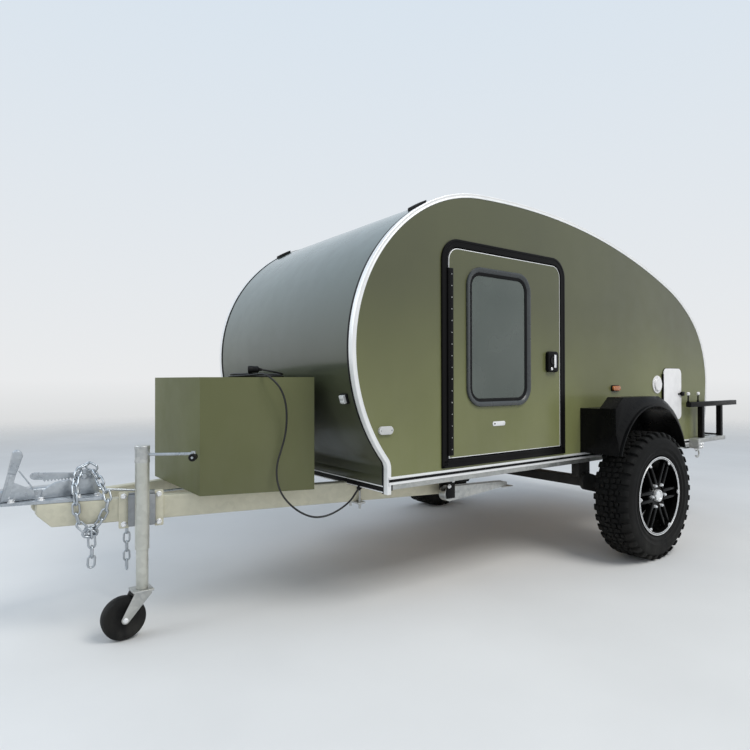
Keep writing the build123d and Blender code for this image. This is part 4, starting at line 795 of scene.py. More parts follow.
def coil_places():
    last = LEAD_ROUTE[-1]
    first_angle = math.atan2(last[1] - COIL_CENTRE[1], last[0] - COIL_CENTRE[0])
    places = []
    turn = TURN_STEP
    while turn <= COIL_STAGES[-1][0] + 1:
        angle = first_angle - math.radians(turn)
        radius = staged(turn, 1)
        places.append((COIL_CENTRE[0] + radius * math.cos(angle),
                       COIL_CENTRE[1] + radius * math.sin(angle), BOX_TOP + staged(turn, 2)))
        turn += TURN_STEP
    return places


def nurbs_cord(name, places, diameter):
    """One open, smooth spline with the places as its control points."""
    curve = line_curve(places, kind="NURBS", radius=diameter / 2, resolution=3)
    curve.splines[0].order_u = 3
    curve.splines[0].use_endpoint_u = True
    curve.resolution_u = 6
    curve.materials.append(FINISH["lead sheath"])
    return put_in_scene(name, curve)


lead_places = [(x + LENGTH_SHIFT, y, z) for x, y, z in LEAD_ROUTE + coil_places()]
lead = nurbs_cord("lead", lead_places, LEAD_DIAMETER)
lead_line = [v.co.copy() for v in evaluated(nurbs_cord("bare line", lead_places, 0.0)).vertices]

# %% [markdown]
# The plug is a turned body with grip rings and a soft sleeve where the cable goes in. It lies on
# the coil in the direction that the last turn gives it.

# %% Plug
PLUG_CENTRE = (-1.357, -0.360, BOX_TOP + 0.0353)
PLUG_LINE = Vector((-0.94, 0.34, 0.0)).normalized()
PIN_CIRCLE = 0.0085
# Half of its length, in millimetres as in the section
PLUG_HALF = 31
plug_section = [(0, -PLUG_HALF), (6.2, -PLUG_HALF), (7.5, -PLUG_HALF + 10), (11, -PLUG_HALF + 14)]
for start in (-14, -8, -2, 4):
    plug_section += [(15.2, start), (16, start + 1), (16, start + 3.5), (15.2, start + 4.5)]
plug_section += [(17, 12), (17, PLUG_HALF - 2), (15.5, PLUG_HALF), (14, PLUG_HALF), (14, PLUG_HALF - 8),
                 (0, PLUG_HALF - 8)]
pin = lathe([(0, PLUG_HALF - 1), (1.2, PLUG_HALF - 1.5), (1.2, PLUG_HALF - 9)], 8)
pins = [placed(pin, at(PIN_CIRCLE * math.cos(math.radians(60 * n)),
                       PIN_CIRCLE * math.sin(math.radians(60 * n)), 0)) for n in range(6)]
plug_mesh = placed(joined([lathe(plug_section)] + pins), at(*PLUG_CENTRE) @ facing(PLUG_LINE))
plug = finish_piece("lead_plug_finished", plug_mesh, "soft black", ["lead_plug"], smooth=30)
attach(lead, "trailer")
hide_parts("lead_tube", "lead_coil")

# %% [markdown]
# ## Nodes that stay as they are
#
# A construction node whose form is already right only gets its finish. Every other node is replaced
# further on.

# %% Node finishes
for node, finish in (("bulkhead", "plywood"), ("side_wall_left", "olive panel"),
                     ("side_wall_right", "olive panel"), ("body_hinges", "black frame"),
                     ("brake_rod", "bright zinc")):
    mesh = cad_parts[node].data
    mesh.materials.clear()
    mesh.materials.append(FINISH[finish])

# %% [markdown]
# ## The side profile
#
# The body's side is a chain of arcs, each leaving where the last one ends without a kink. The arcs
# are worked out here, so that the skin reflects the sky in one smooth sweep.

# %% Profile arcs
HALF_WIDTH, INSIDE_Y = 0.750, 0.720
FLOOR_TOP, FLOOR_LOW = 0.625, 0.600
FRONT_FOOT_X, TAIL_FOOT_X, HATCH_X = -0.890, 2.132, 1.560
SKIN = 0.030
ARC_STEP = math.radians(1.2)
# Places where the arcs meet: x, z
PROFILE_KNOTS = [(-0.890, 0.672), (-0.904, 0.712), (-1.080, 1.159), (-0.948, 1.651),
                 (-0.289, 2.026), (1.632, 1.730), (1.969, 1.534), (2.197, 0.987), (2.132, 0.600)]


def profile_line():
    """Rows of (x, z, outward x, outward z) from the front foot, over the roof, to the tail."""
    tangent = Vector((0.0, 1.0))
    here = Vector(PROFILE_KNOTS[0])
    rows = [(Vector((FRONT_FOOT_X, FLOOR_LOW)), tangent), (here, tangent)]
    for knot in PROFILE_KNOTS[1:]:
        there = Vector(knot)
        chord = there - here
        left = Vector((-tangent.y, tangent.x))
        centre = here + left * (chord.length_squared / (2 * left.dot(chord)))
        unit = chord.normalized()
        sweep = 2 * math.asin(max(-1.0, min(1.0, (tangent.x * unit.y - tangent.y * unit.x))))
        steps = max(2, math.ceil(abs(sweep) / ARC_STEP))
        arm = here - centre
        for step in range(1, steps + 1):
            turn = Matrix.Rotation(sweep * step / steps, 2)
            rows.append((centre + turn @ arm, turn @ tangent))
        tangent = rows[-1][1]
        here = there
    return [(p.x, p.y, -t.y, t.x) for p, t in rows]


PROFILE = profile_line()


def between(before, after, column, value):
    """The profile's row where one column takes a value."""
    share = (value - before[column]) / (after[column] - before[column])
    return tuple(a + share * (b - a) for a, b in zip(before, after))


# %% [markdown]
# ## Bent skin
#
# The front, roof and hatch are one family of bent sheets between the side walls. Rows across keep
# their reflections even, and a very slight crown between their edges, as sheet over ribs has, keeps
# them from looking like mirrors.

# %% Skin sheets
SHEET_ACROSS = 24
SHUT = 0.005
CROWN = 0.0006
HINGE_LEAF, LEAF_REACH = 0.004, 0.042


def sheet_mesh(rows, half_width, thick, crown=0.0):
    """A closed sheet that follows rows of the profile, from -half_width to half_width."""
    points, faces = [], []
    for x, z, nx, nz in rows:
        for layer in (0.0, -thick):
            for number in range(SHEET_ACROSS + 1):
                share = number / SHEET_ACROSS
                lift = layer - crown * (1 - math.cos(2 * math.pi * share * 3)) / 2 * (layer == 0.0)
                points.append((x + nx * lift, -half_width + 2 * half_width * share, z + nz * lift))
    wide = SHEET_ACROSS + 1
    for row in range(len(rows) - 1):
        top = row * 2 * wide
        after = 2 * wide
        for number in range(SHEET_ACROSS):
            low = top + wide
            faces.append((top, top + after, top + after + 1, top + 1))
            faces.append((low, low + 1, low + after + 1, low + after))
            top += 1
        for top in (row * 2 * wide, row * 2 * wide + SHEET_ACROSS):
            faces.append((top, top + wide, top + wide + after, top + after))
    for row in (0, len(rows) - 1):
        for number in range(SHEET_ACROSS):
            top = row * 2 * wide + number
            faces.append((top, top + 1, top + 1 + wide, top + wide))
    return mesh_from(points, faces, 1e-7)


front_rows, hatch_rows = [], []
for before, after in zip(PROFILE, PROFILE[1:]):
    if before[1] < FLOOR_TOP < after[1]:
        front_rows = [between(before, after, 1, FLOOR_TOP)]
    elif before[1] >= FLOOR_TOP and before[0] <= HATCH_X:
        front_rows.append(before)
    if before[0] >= HATCH_X + SHUT and before[1] >= FLOOR_TOP + SHUT:
        hatch_rows.append(before)
    if before[0] < HATCH_X < after[0]:
        front_rows.append(between(before, after, 0, HATCH_X))
    if before[0] < HATCH_X + SHUT < after[0]:
        hatch_rows = [between(before, after, 0, HATCH_X + SHUT)]
    if hatch_rows and after[1] < FLOOR_TOP + SHUT < before[1]:
        hatch_rows.append(between(before, after, 1, FLOOR_TOP + SHUT))
leaf_rows = [(x + nx * HINGE_LEAF, z + nz * HINGE_LEAF, nx, nz) for x, z, nx, nz in hatch_rows
             if x < HATCH_X + LEAF_REACH][1:]
hatch_half = INSIDE_Y - SHUT
hatch_mesh = joined([sheet_mesh(hatch_rows, hatch_half, SKIN, CROWN),
                     sheet_mesh(leaf_rows, hatch_half, HINGE_LEAF)])
finish_piece("roof_skin_finished", sheet_mesh(front_rows, INSIDE_Y, SKIN, CROWN), "green skin",
             ["roof_skin"], smooth=50)
finish_piece("rear_hatch_finished", hatch_mesh, "green skin", ["rear_hatch"], "rear_hatch", 50)
print("front skin", len(front_rows), "rows; hatch", len(hatch_rows), "rows")

# %% [markdown]
# ## Edge trim
#
# An aluminium angle is bent round the edge of each side. One leg lies on the wall and one on the
# skin, and a black seal closes the gap beside it. A strip with a rubber insert runs along the sill.

# %% Trim round each side
# Columns of each section: out of the side's edge and off the wall, in millimetres
TRIM_SECTION = [(-19, 0), (-19, 2), (-17.8, 3), (-14, 3), (-12.5, 2.2), (-4.5, 2.2), (-3, 3), (1.2, 3),
                (2.6, 2.2), (3, 0.8), (3, -25), (2, -26), (0, -26), (0, 0)]
SEAL_SECTION = [(0, -26), (2.2, -26.2), (2.6, -30), (2.4, -39), (1, -42.5), (0, -43)]
SILL_SECTION = [(0, 0), (0, 8), (1, 9), (10, 9), (11.5, 5.5), (24.5, 5.5), (26, 9), (35, 9), (36, 8),
                (36, 0)]
INSERT_SECTION = [(12, 5), (12, 6.2), (18, 7.2), (24, 6.2), (24, 5)]
TRIM_FOOT_Z = 0.556
trim_line = [(FRONT_FOOT_X, TRIM_FOOT_Z)] + [row[:2] for row in PROFILE[:-1]] + [(TAIL_FOOT_X, FLOOR_LOW)]
sill_line = [(FRONT_FOOT_X + 0.004, FLOOR_LOW), (TAIL_FOOT_X, FLOOR_LOW)]
left_trim, left_seal = [
    joined([swept(trim_line, round_edge, -HALF_WIDTH, finish=finish),
            swept(sill_line, sill, -HALF_WIDTH, finish=finish)])
    for round_edge, sill, finish in ((TRIM_SECTION, SILL_SECTION, "bright trim"),
                                     (SEAL_SECTION, INSERT_SECTION, "seal rubber"))]


def across_foot(front, rear, low, high, round_off):
    """A strip across the front foot of the skin, measured from its face."""
    return box_mesh(FRONT_FOOT_X - front, FRONT_FOOT_X + rear, -INSIDE_Y, INSIDE_Y, low, high, round_off)


beads = [across_foot(0.004, -0.001, low, low + 0.005, 0.001) for low in (0.561, 0.588)]
finish_piece("front_sheet_foot", across_foot(0.0012, 0.001, 0.592, 0.632, 0.0004), "green skin")
finish_piece("front_strip", across_foot(0.0012, 0.001, 0.560, 0.592, 0.0004), "black steel")
finish_piece("front_strip_beads", joined(beads), "bright trim")
finish_piece("edge_trims_finished", both_sides(left_trim), "bright trim", ["edge_trims"], smooth=30)
finish_piece("trim_seals", both_sides(left_seal), "seal rubber")

# %% [markdown]
# ## Doors
#
# The door is an olive panel with a bare aluminium edge, which shows as a thin pale line, in a black
# moulded frame with a raised outer bead. The window sits in a dark ring whose inner edge slopes down
# to the glass.

# %% Door frame
DOOR = (-0.560, 0.415, 0.645, 1.775)
DOOR_RADIUS, FRAME_WIDTH, DOOR_GAP = 0.110, 0.040, 0.006
FRAME_SECTION = [(0, 0), (0, 7), (-1.5, 9.5), (-4, 10), (-12, 10), (-13.5, 8.2), (-25, 8.2),
                 (-26.5, 9.6), (-37.5, 9.6), (-39.5, 8), (-40, 5), (-40, -30), (-6.5, -30), (-6.5, 0)]
left_frame = swept(rounded_outline(*DOOR, DOOR_RADIUS, 0.002, 14), FRAME_SECTION, -HALF_WIDTH, True,
                   "black frame")
HINGE_X, HINGE_Y = -0.522, -0.763
HINGE_LOW_Z, HINGE_TOP_Z = 0.705, 1.625
hinge_pin = tube_mesh([(HINGE_X, HINGE_Y, HINGE_LOW_Z), (HINGE_X, HINGE_Y, HINGE_TOP_Z)], 0.005, 16)
finish_piece("door_frames_finished", both_sides(joined([left_frame, hinge_pin])), "black frame",
             ["door_frames"], smooth=35)

# %% Door leaf
WINDOW = (-0.394, 0.098, 0.938, 1.652)
WINDOW_RADIUS = 0.100
DOOR_PROUD = 0.006
DOOR_FACE = -HALF_WIDTH - DOOR_PROUD


def inset(box, inward, radius, foot_radius, steps):
    """The rounded outline of a box that is drawn in by a distance."""
    return rounded_outline(box[0] + inward, box[1] - inward, box[2] + inward, box[3] - inward,
                           radius - inward, foot_radius, steps)


def panel_with_hole(outer, inner, y_front, y_back, edge):
    """A flat panel with a rounded front edge and a hole, both outlines clockwise."""
    form = bmesh.new()
    shrunk = []
    for number, (x, z) in enumerate(outer):
        before, after = outer[number - 1], outer[(number + 1) % len(outer)]
        along = Vector((after[0] - before[0], after[1] - before[1])).normalized()
        shrunk.append((x + along.y * edge, z - along.x * edge))
    loops = [[form.verts.new((x, level, z)) for x, z in line] for line, level in (
        (outer, y_back), (outer, y_front + edge), (shrunk, y_front), (inner, y_front), (inner, y_back))]
    for first, second in ((0, 1), (1, 2), (3, 4)):
        first, second = loops[first], loops[second]
        for number in range(len(first)):
            after = (number + 1) % len(first)
            form.faces.new((first[number], first[after], second[after], second[number]))
    for pair in ((loops[2], loops[3]), (loops[0], loops[4])):
        rim = [form.edges.get((loop[n], loop[(n + 1) % len(loop)])) for loop in pair
               for n in range(len(loop))]
        bmesh.ops.triangle_fill(form, use_beauty=True, edges=rim)
    bmesh.ops.recalc_face_normals(form, faces=form.faces)
    return baked(form)


LEAF_EDGE = FRAME_WIDTH + DOOR_GAP
EDGE_SECTION = [(0.6, -10), (0.6, 4.5), (-0.2, 6.2), (-2.8, 6.8), (-3.6, 6.2), (-3.6, -10)]
leaf_outer = inset(DOOR, LEAF_EDGE, DOOR_RADIUS, 0.004, 12)
left_leaf = panel_with_hole(leaf_outer, inset(WINDOW, 0.013, WINDOW_RADIUS, None, 10), DOOR_FACE,
                            -INSIDE_Y, 0.0020)
left_edge = swept(leaf_outer, EDGE_SECTION, -HALF_WIDTH, True)

# %% Hinge strip, window ring and glass
strip = box_mesh(HINGE_X + 0.0055, HINGE_X + 0.031, HINGE_Y - 0.003, DOOR_FACE, HINGE_LOW_Z,
                 HINGE_TOP_Z, 0.0012)
strip_screws = scattered(pan_screw(2.6, 1.2), [
    ((HINGE_X + 0.0205, HINGE_Y - 0.003, HINGE_LOW_Z + 0.030 + 0.0574 * n), (0.0, -1.0, 0.0), 0.35 * n,
     1.0) for n in range(16)], "galvanised")
RING_SECTION = [(0, 0), (0, 8), (-2, 11), (-5.5, 12), (-11, 12), (-15, 10.5), (-24, 5), (-26, 3),
                (-26, -5), (-13, -5), (-13, 0)]
GASKET_SECTION = [(-25.5, 3.5), (-26.2, 4.2), (-40, 1.6), (-43, -3), (-25.5, -2)]
window_line = rounded_outline(*WINDOW, WINDOW_RADIUS, None, 14)
left_ring = swept(window_line, RING_SECTION, DOOR_FACE, True, "window ring")
left_gasket = swept(window_line, GASKET_SECTION, DOOR_FACE, True, "seal rubber")


def pane_mesh(line, y_front, y_back, bulge, rings=8):
    """A pane with a slight outward bow, so that its reflection is not dead flat."""
    middle_x, middle_z = [(min(p[n] for p in line) + max(p[n] for p in line)) / 2 for n in (0, 1)]
    points, faces = [], []
    for y, bow in ((y_front, bulge), (y_back, 0.0)):
        for ring in range(rings + 1):
            share = 1 - ring / rings
            for x, z in line:
                points.append((middle_x + (x - middle_x) * share, y - bow * (1 - share * share),
                               middle_z + (z - middle_z) * share))
    count = len(line)
    back = (rings + 1) * count
    steps = [(base + ring * count, base + (ring + 1) * count) for base in (0, back)
             for ring in range(rings)]
    for one, two in steps + [(0, back)]:
        for number in range(count):
            after = (number + 1) % count
            faces.append((one + number, one + after, two + after, two + number))
    return mesh_from(points, faces, 1e-6)


left_pane = pane_mesh(inset(WINDOW, 0.0133, WINDOW_RADIUS, None, 10), -0.754, -0.746, 0.0015)

# %% [markdown]
# The latch is a black moulded plate with a round dish. A chrome lever stands upright on its rear
# half, and a keyed button sits below it. Both doors carry the same fittings, mirrored.

# %% Latch
LATCH_REAR_X, LATCH_Z = 0.329, 1.177
LATCH_WIDTH, LATCH_HALF_HEIGHT, LATCH_DEPTH = 0.092, 0.059, 0.022
LATCH_TOP = DOOR_FACE - LATCH_DEPTH
latch_x = LATCH_REAR_X - LATCH_WIDTH * 0.52
latch_outline = rounded_outline(LATCH_REAR_X - LATCH_WIDTH, LATCH_REAR_X, LATCH_Z - LATCH_HALF_HEIGHT,
                                LATCH_Z + LATCH_HALF_HEIGHT, 0.020)
dish = placed(lathe([(26, 0), (29, 1.5), (29, 3), (26, 4), (23, 2.5), (0, 1.5)], 40),
              at(latch_x, LATCH_Z + 0.008, 0))
paddle = box_mesh(latch_x + 0.004, latch_x + 0.022, LATCH_Z - 0.034, LATCH_Z + 0.040, 0.0, 0.0042,
                  0.0020, 3)
key_barrel = placed(lathe([(0, 3.5), (1.5, 3.5), (1.5, 2.8), (7, 2.8), (8.2, 1.8), (8.2, 0)], 24),
                    at(latch_x - 0.016, LATCH_Z - 0.040, 0))
chrome = toward_viewer(joined([paddle, key_barrel]), LATCH_TOP)
latch_black = joined([toward_viewer(plate_mesh(latch_outline, LATCH_DEPTH, 0.005, 3), DOOR_FACE),
                      toward_viewer(dish, LATCH_TOP)])
# Columns: end of the name, mesh, finish, end of the node's name that it stands for, smooth angle
DOOR_PIECES = [
    ("_finished", left_leaf, "olive panel", "", 38), ("_edge", left_edge, "bright trim", None, 38),
    ("_hinge", strip, "black frame", None, 38), ("_hinge_screws", strip_screws, "galvanised", None, 38),
    ("_fittings_finished", left_ring, "window ring", "_fittings", 38),
    ("_gasket", left_gasket, "seal rubber", None, 38), ("_latch", latch_black, "black frame", None, 38),
    ("_latch_chrome", chrome, "machined", None, 38),
    ("_glass_finished", left_pane, "window glass", "_glass", 50),
]
for body, turn in (("door_left", Matrix()), ("door_right", TO_RIGHT)):
    for ending, mesh, finish, node, smooth in DOOR_PIECES:
        stands_for = [] if node is None else [body + node]
        finish_piece(body + ending, placed(mesh, turn), finish, stands_for, body, smooth)

# %% [markdown]
# ## Wheels
#
# The tyre's carcass is turned, as a mould turns it. Its tread is one pitch of blocks that a tree
# repeats round the wheel. The rim is a black casting with a machined ring, split spokes that end at
# bolted pads, six wheel nuts and a cap.

# %% Tyre carcass and one pitch of tread
HUB_X, WHEEL_MID_Y, HUB_Z = 0.940, 0.942, 0.380
TREAD_PITCHES = 36
PITCH_ANGLE = 2 * math.pi / TREAD_PITCHES
# Radii of the tread, in millimetres as in the sections
WHEEL_RADIUS, TREAD_FLOOR = 380, 366.5
# The half section of the tyre from its bead outwards: radius, place across
TYRE_HALF = [(236.6, 92), (242, 101), (252, 105.5), (256, 108.5), (265, 108.5), (269, 106.8), (285, 110.5),
             (287, 111.8), (292, 112), (294, 111.2), (315, 112.2), (332, 110.5), (348, 104), (360, 94),
             (TREAD_FLOOR, 80), (TREAD_FLOOR + 1, 0)]
TYRE_SECTION = TYRE_HALF + [(r, -y) for r, y in reversed(TYRE_HALF[:-1])]
# Blocks of one pitch: shares of the pitch along, and millimetres across
CENTRE_BLOCKS = [
    [(0.04, 4), (0.40, 2), (0.52, 14), (0.46, 28), (0.12, 30), (0.00, 18)],
    [(0.54, -4), (0.90, -2), (1.00, -18), (0.88, -30), (0.56, -28), (0.48, -14)],
    [(0.56, 10), (0.94, 8), (1.02, 24), (0.98, 44), (0.66, 46), (0.56, 32)],
    [(0.02, -8), (0.36, -10), (0.44, -32), (0.34, -46), (0.04, -44), (-0.04, -24)],
    [(0.08, 36), (0.46, 36), (0.54, 52), (0.44, 60), (0.14, 60), (0.06, 50)],
    [(0.58, -36), (0.90, -36), (0.98, -50), (0.90, -60), (0.62, -60), (0.54, -50)],
]
# A shoulder lug from the tread down the side, in millimetres: place across, radius, depth
LUG_ROWS = [(67, 380, 14.5), (88, 379.2, 15), (97.5, 375.2, 15), (103.5, 368, 10), (106.2, 360, 5),
            (106.8, 354, 0.6)]


def round_place(share, y, radius):
    """A place on the wheel from a share of the pitch and two distances in millimetres."""
    angle = (share - 0.5) * PITCH_ANGLE
    return (MM * radius * math.sin(angle), MM * y, MM * radius * math.cos(angle))


def tread_pitch():
    points, faces = [], []
    for corners in CENTRE_BLOCKS:
        start, count = len(points), len(corners)
        middle_a, middle_y = [sum(corner[n] for corner in corners) / count for n in (0, 1)]
        for radius, grow in ((TREAD_FLOOR - 2, 0.96), (WHEEL_RADIUS - 1.2, 0.84), (WHEEL_RADIUS - 0.2, 0.77)):
            points += [round_place(middle_a + (a - middle_a) * grow, middle_y + (y - middle_y) * grow,
                                   radius) for a, y in corners]
        for low in (start, start + count):
            for number in range(count):
                after = (number + 1) % count
                faces.append((low + number, low + after, low + count + after, low + count + number))
        faces.append([start + 2 * count + number for number in range(count)])
    for side, first, last in ((1, 0.12, 0.58), (-1, 0.44, 0.90)):
        start = len(points)
        for y, radius, depth in LUG_ROWS:
            for share, drop in ((first - 0.03, depth), (first, 1), (first + 0.02, 0),
                                (last - 0.02, 0), (last, 1), (last + 0.03, depth)):
                points.append(round_place(share, side * (y - drop * 0.25), radius - drop))
        for row in range(len(LUG_ROWS) - 1):
            for low in range(start + row * 6, start + row * 6 + 5):
                faces.append((low, low + 1, low + 7, low + 6))
        faces.append([start + column for column in range(6)])
    return mesh_from(points, faces, 1e-7)


# The wheel's tree repeats a form about the axle
ROUND, taken = empty_tree("round the axle", Form="Object", Count="Int")
step = maths(ROUND, "DIVIDE", 2 * math.pi, taken["Count"])
turn = maths(ROUND, "MULTIPLY", add(ROUND, "GeometryNodeInputIndex"), step)
put_form(ROUND, taken, add(ROUND, "GeometryNodePoints", {"Count": taken["Count"]}),
         add(ROUND, "CombineXYZ", {"Y": turn}))


def round_axle(form, count, finish):
    return run_tree(ROUND, mesh_from([(0, 0, 0)], []), finish, form, Count=count)


tyre_mesh = joined([lathe(TYRE_SECTION, 144, "Y", closed=True),
                    round_axle(tread_pitch(), TREAD_PITCHES, "tyre rubber")])

# %% Rim
RIM_FACE, SPOKE_FACE = 0.102, 0.090
SPOKES = 6
# Sections in millimetres: radius, place outwards
BARREL = [(236.2, 98), (234.5, 102), (233, 102), (216, 100), (215, 72), (223, 68), (223, -85),
          (229, -92.5), (236.2, -92.5)]
RING = [(233.5, 101), (233, 103.2), (228.5, 103.2), (227.5, 102.2), (224.5, 102.2), (223.5, 103.2),
        (220.6, 102.6), (219.8, 99)]
GROOVE = [(228, 102), (227.6, 102.6), (224.4, 102.6), (224, 102)]
HUB = [(0, 78), (40, 78), (52, 80), (84, 82), (90, 78), (90, 56), (0, 56)]
DRUM = [(0, -34), (140, -34), (148, -38), (150, -46), (150, -106), (146, -112), (142, -112), (142, -44),
        (0, -44)]
STUB = [(0, 60), (60, 60), (60, -36), (0, -36)]
CAP_RING = [(27, 79), (36, 79), (36, 96), (34, 100), (28, 100), (26, 96)]
CAP_MIDDLE = [(25.5, 90), (24.5, 96.5), (18, 98.5), (0, 100)]
NUT = [(0, 22), (6, 22), (9.5, 16), (10, 0)]


def face_outward(mesh, level):
    """Stands a flat form on the wheel's outer face."""
    return placed(mesh, at(0, level, 0) @ turned(90, "X") @ Matrix.Scale(-1, 4, (0, 0, 1)))


def pad_mesh(shrink, thick, level):
    """The pad where a pair of spokes meets the ring: square outside, round towards the hub."""
    steps = 10
    half = 0.0125 - shrink
    line = [(0.222 - shrink, -half), (0.222 - shrink, half)]
    for step in range(steps + 1):
        angle = math.radians(90 + 180 * step / steps)
        line.append((0.206 + shrink + half * 0.9 + half * 0.9 * math.cos(angle), half * math.sin(angle)))
    return face_outward(plate_mesh(line, thick, 0.0008), level)


# Two bars part from the hub and meet the ring beside one pad
spoke_parts = []
for side in (-1, 1):
    bar = [(0.060, side * 0.010), (0.060, side * 0.034), (0.120, side * 0.0335), (0.218, side * 0.0325),
           (0.218, side * 0.0150), (0.120, side * 0.0145)]
    spoke_parts.append(plate_mesh(bar[::side], 0.026, 0.0045, 3))
spoke_parts.append(plate_mesh([(0.205, -0.020), (0.218, -0.020), (0.218, 0.020), (0.205, 0.020)], 0.020,
                              0.002))
spokes = face_outward(joined(spoke_parts), SPOKE_FACE - 0.026)
pad_bolt = face_outward(placed(hex_bolt(10, 4, 7, 1), at(0.210, 0, 0)), RIM_FACE + 0.0010)
nut = placed(lathe(NUT, 6, "Y"), at(0.070, SPOKE_FACE - 0.009, 0))
rim_black = joined([lathe(BARREL, 96, "Y", closed=True), lathe(HUB, 48, "Y"), lathe(GROOVE, 96, "Y"),
                    lathe(STUB, 32, "Y")]
                   + [round_axle(form, SPOKES, "wheel black")
                      for form in (spokes, pad_mesh(0.0042, 0.0006, RIM_FACE + 0.0010))]
                   + [lathe(DRUM, 64, "Y")])
rim_bright = joined([lathe(RING, 96, "Y"), lathe(CAP_RING, 40, "Y", closed=True),
                     lathe(CAP_MIDDLE, 32, "Y")]
                    + [round_axle(form, SPOKES, "machined")
                       for form in (pad_mesh(0.0, 0.0040, RIM_FACE - 0.0028), pad_bolt, nut)])
for side, sign in (("left", -1), ("right", 1)):
    turn = at(HUB_X, sign * WHEEL_MID_Y, HUB_Z) @ Matrix.Scale(sign, 4, (0, 1, 0))
    body = "wheel_" + side
    finish_piece("tyre_" + side + "_finished", placed(tyre_mesh, turn), "tyre rubber",
                 ["tyre_" + side], body, 30)
    finish_piece("rim_" + side + "_finished", placed(rim_black, turn), "wheel black", ["rim_" + side],
                 body, 35)
    finish_piece("rim_" + side + "_bright", placed(rim_bright, turn), "machined", [], body, 30)
print("tyre", len(tyre_mesh.polygons), "faces; rim", len(rim_black.polygons) + len(rim_bright.polygons))

# %% [markdown]
# ## Softened pieces
#
# Bars, brackets and mouldings whose construction form is already right only get their edges
# rounded: a few millimetres on a fender, less on a small bracket. One table holds them all.

# %% Softened pieces
STEADIES = [("steady_" + end, "steady_" + end, "galvanised", 0.0015, 2)
            for end in ("front_left", "front_right", "rear_left", "rear_right")]
# Columns: node, body, finish, rounding, steps, and the slot where it isn't the finish's own
SOFT_PIECES = [
    ("drawbar_beams", "trailer", "beam zinc", 0.006, 3),
    ("chassis_frame", "trailer", "galvanised", 0.003, 2),
    ("coupler", "trailer", "bright zinc", 0.004, 2),
    ("jockey_leg", "jockey_leg", "tube zinc", 0.002, 2),
    ("jockey_fork", "jockey_fork", "galvanised", 0.0015, 2),
    ("front_box", "trailer", "olive box", 0.005, 3),
    ("front_box_door", "front_box_door", "olive box", 0.003, 2),
    ("fender_left", "trailer", "black moulding", 0.007, 3),
    ("fender_right", "trailer", "black moulding", 0.007, 3),
    ("front_apron", "trailer", "black steel", 0.002, 2),
    ("axle", "trailer", "black steel", 0.004, 2, "axle_paint"),
    ("trailing_arms", "trailer", "black steel", 0.004, 2, "axle_paint"),
    *STEADIES,
    # Painted shade: the steadies' brackets are galvanised, and black steel stands in for the shade under the
    # body
    ("steady_brackets", "trailer", "black steel", 0.002, 2, "galvanised"),
    ("rear_bumper", "trailer", "galvanised", 0.003, 2),
    ("side_racks", "trailer", "black frame", 0.004, 3, "black_paint"),
    ("roof_feet", "trailer", "soft black", 0.003, 2),
    ("beam_clamps", "trailer", "galvanised", 0.0015, 2),
    ("lead_gland", "trailer", "soft black", 0.001, 1, "lead_black"),
    ("floor_panel", "trailer", "plywood", 0.002, 1),
    ("galley_counter", "trailer", "plywood", 0.002, 1),
    ("access_hatch", "access_hatch", "white plastic", 0.003, 3),
]
for row in SOFT_PIECES:
    soften(*row)

# %% [markdown]
# ## Coupler and parking brake
#
# The overrun coupler is zinc-plated pressed steel. Its shaft runs in a rubber bellows. The parking
# brake has an upright grip, a toothed bar that holds it, and a thin gas strut. The plates are cut
# from flat outlines that were measured in the photo.

# %% Coupler and brake
LEVER_Y = -0.046
# Outlines in millimetres before the shift
GRIP = [(-3236, 700), (-3207, 692), (-3190, 742), (-3182, 768), (-3186, 782), (-3196, 792),
        (-3208, 793), (-3219, 785), (-3228, 742)]
UPRIGHT = [(-3262, 586), (-3232, 586), (-3206, 696), (-3236, 702)]
UPRIGHT_INNER = [(-3254, 590), (-3240, 590), (-3216, 690), (-3228, 693)]
GUSSET = [(-3232, 586), (-3228, 668), (-3216, 662), (-3144, 622), (-3138, 600), (-3138, 586)]
PIVOT = [(-2998, 584), (-2894, 584), (-2898, 616), (-2908, 648), (-2926, 678), (-2944, 690),
         (-2970, 690), (-2990, 672), (-2998, 640)]
COVER = [(-3120, 586), (-3000, 586), (-2996, 640), (-3010, 652), (-3060, 644), (-3090, 630),
         (-3112, 614)]
TEETH = [point for n in range(10) for point in ((-3104 + n * 13.0, 652), (-3098 + n * 13.0, 661))]
TOOTHED_BAR = [(-2962, 652), (-2962, 678), (-3140, 694), (-3150, 692), (-3157, 685), (-3158, 676),
               (-3152, 668), (-3140, 664), (-3110, 661)] + TEETH
# Columns: outline, place off the lever's plane, thickness, rounding
BRAKE_PLATES = [(UPRIGHT, 0.0, 0.012, 0.0015), (UPRIGHT_INNER, 0.0, 0.016, 0.0015),
                (GUSSET, 0.0, 0.006, 0.0015), (TOOTHED_BAR[::-1], 0.0, 0.010, 0.001),
                (PIVOT, 0.0, 0.012, 0.0015), (COVER, 0.012, 0.020, 0.004), (GRIP, 0.0, 0.028, 0.008)]
brake_parts = [toward_viewer(plate_mesh([(x * MM + LENGTH_SHIFT, z * MM) for x, z in outline],
                                        thick, edge), LEVER_Y + off + thick / 2)
               for outline, off, thick, edge in BRAKE_PLATES]
brake_parts.append(tube_mesh([(-2.256, LEVER_Y, 0.706), (-2.204, LEVER_Y, 0.626)], 0.003))
brake_parts.append(placed(lathe([(0, 46), (10, 46), (12, 43), (18, 42), (18, 0), (0, 0)], 28, "Y"),
                          at(-2.014, LEVER_Y + 0.034, 0.662) @ TO_RIGHT))
finish_piece("handbrake_finished", joined(brake_parts), "bright zinc", ["handbrake_lever"], smooth=30)
BELLOWS_FOLDS, FOLD = 6, 12
bellows = [(0, 0)]
for fold in range(BELLOWS_FOLDS):
    bellows += [(35, FOLD * fold + 1), (38.5, FOLD * fold + 6), (35, FOLD * fold + 11)]
bellows.append((0, FOLD * BELLOWS_FOLDS))
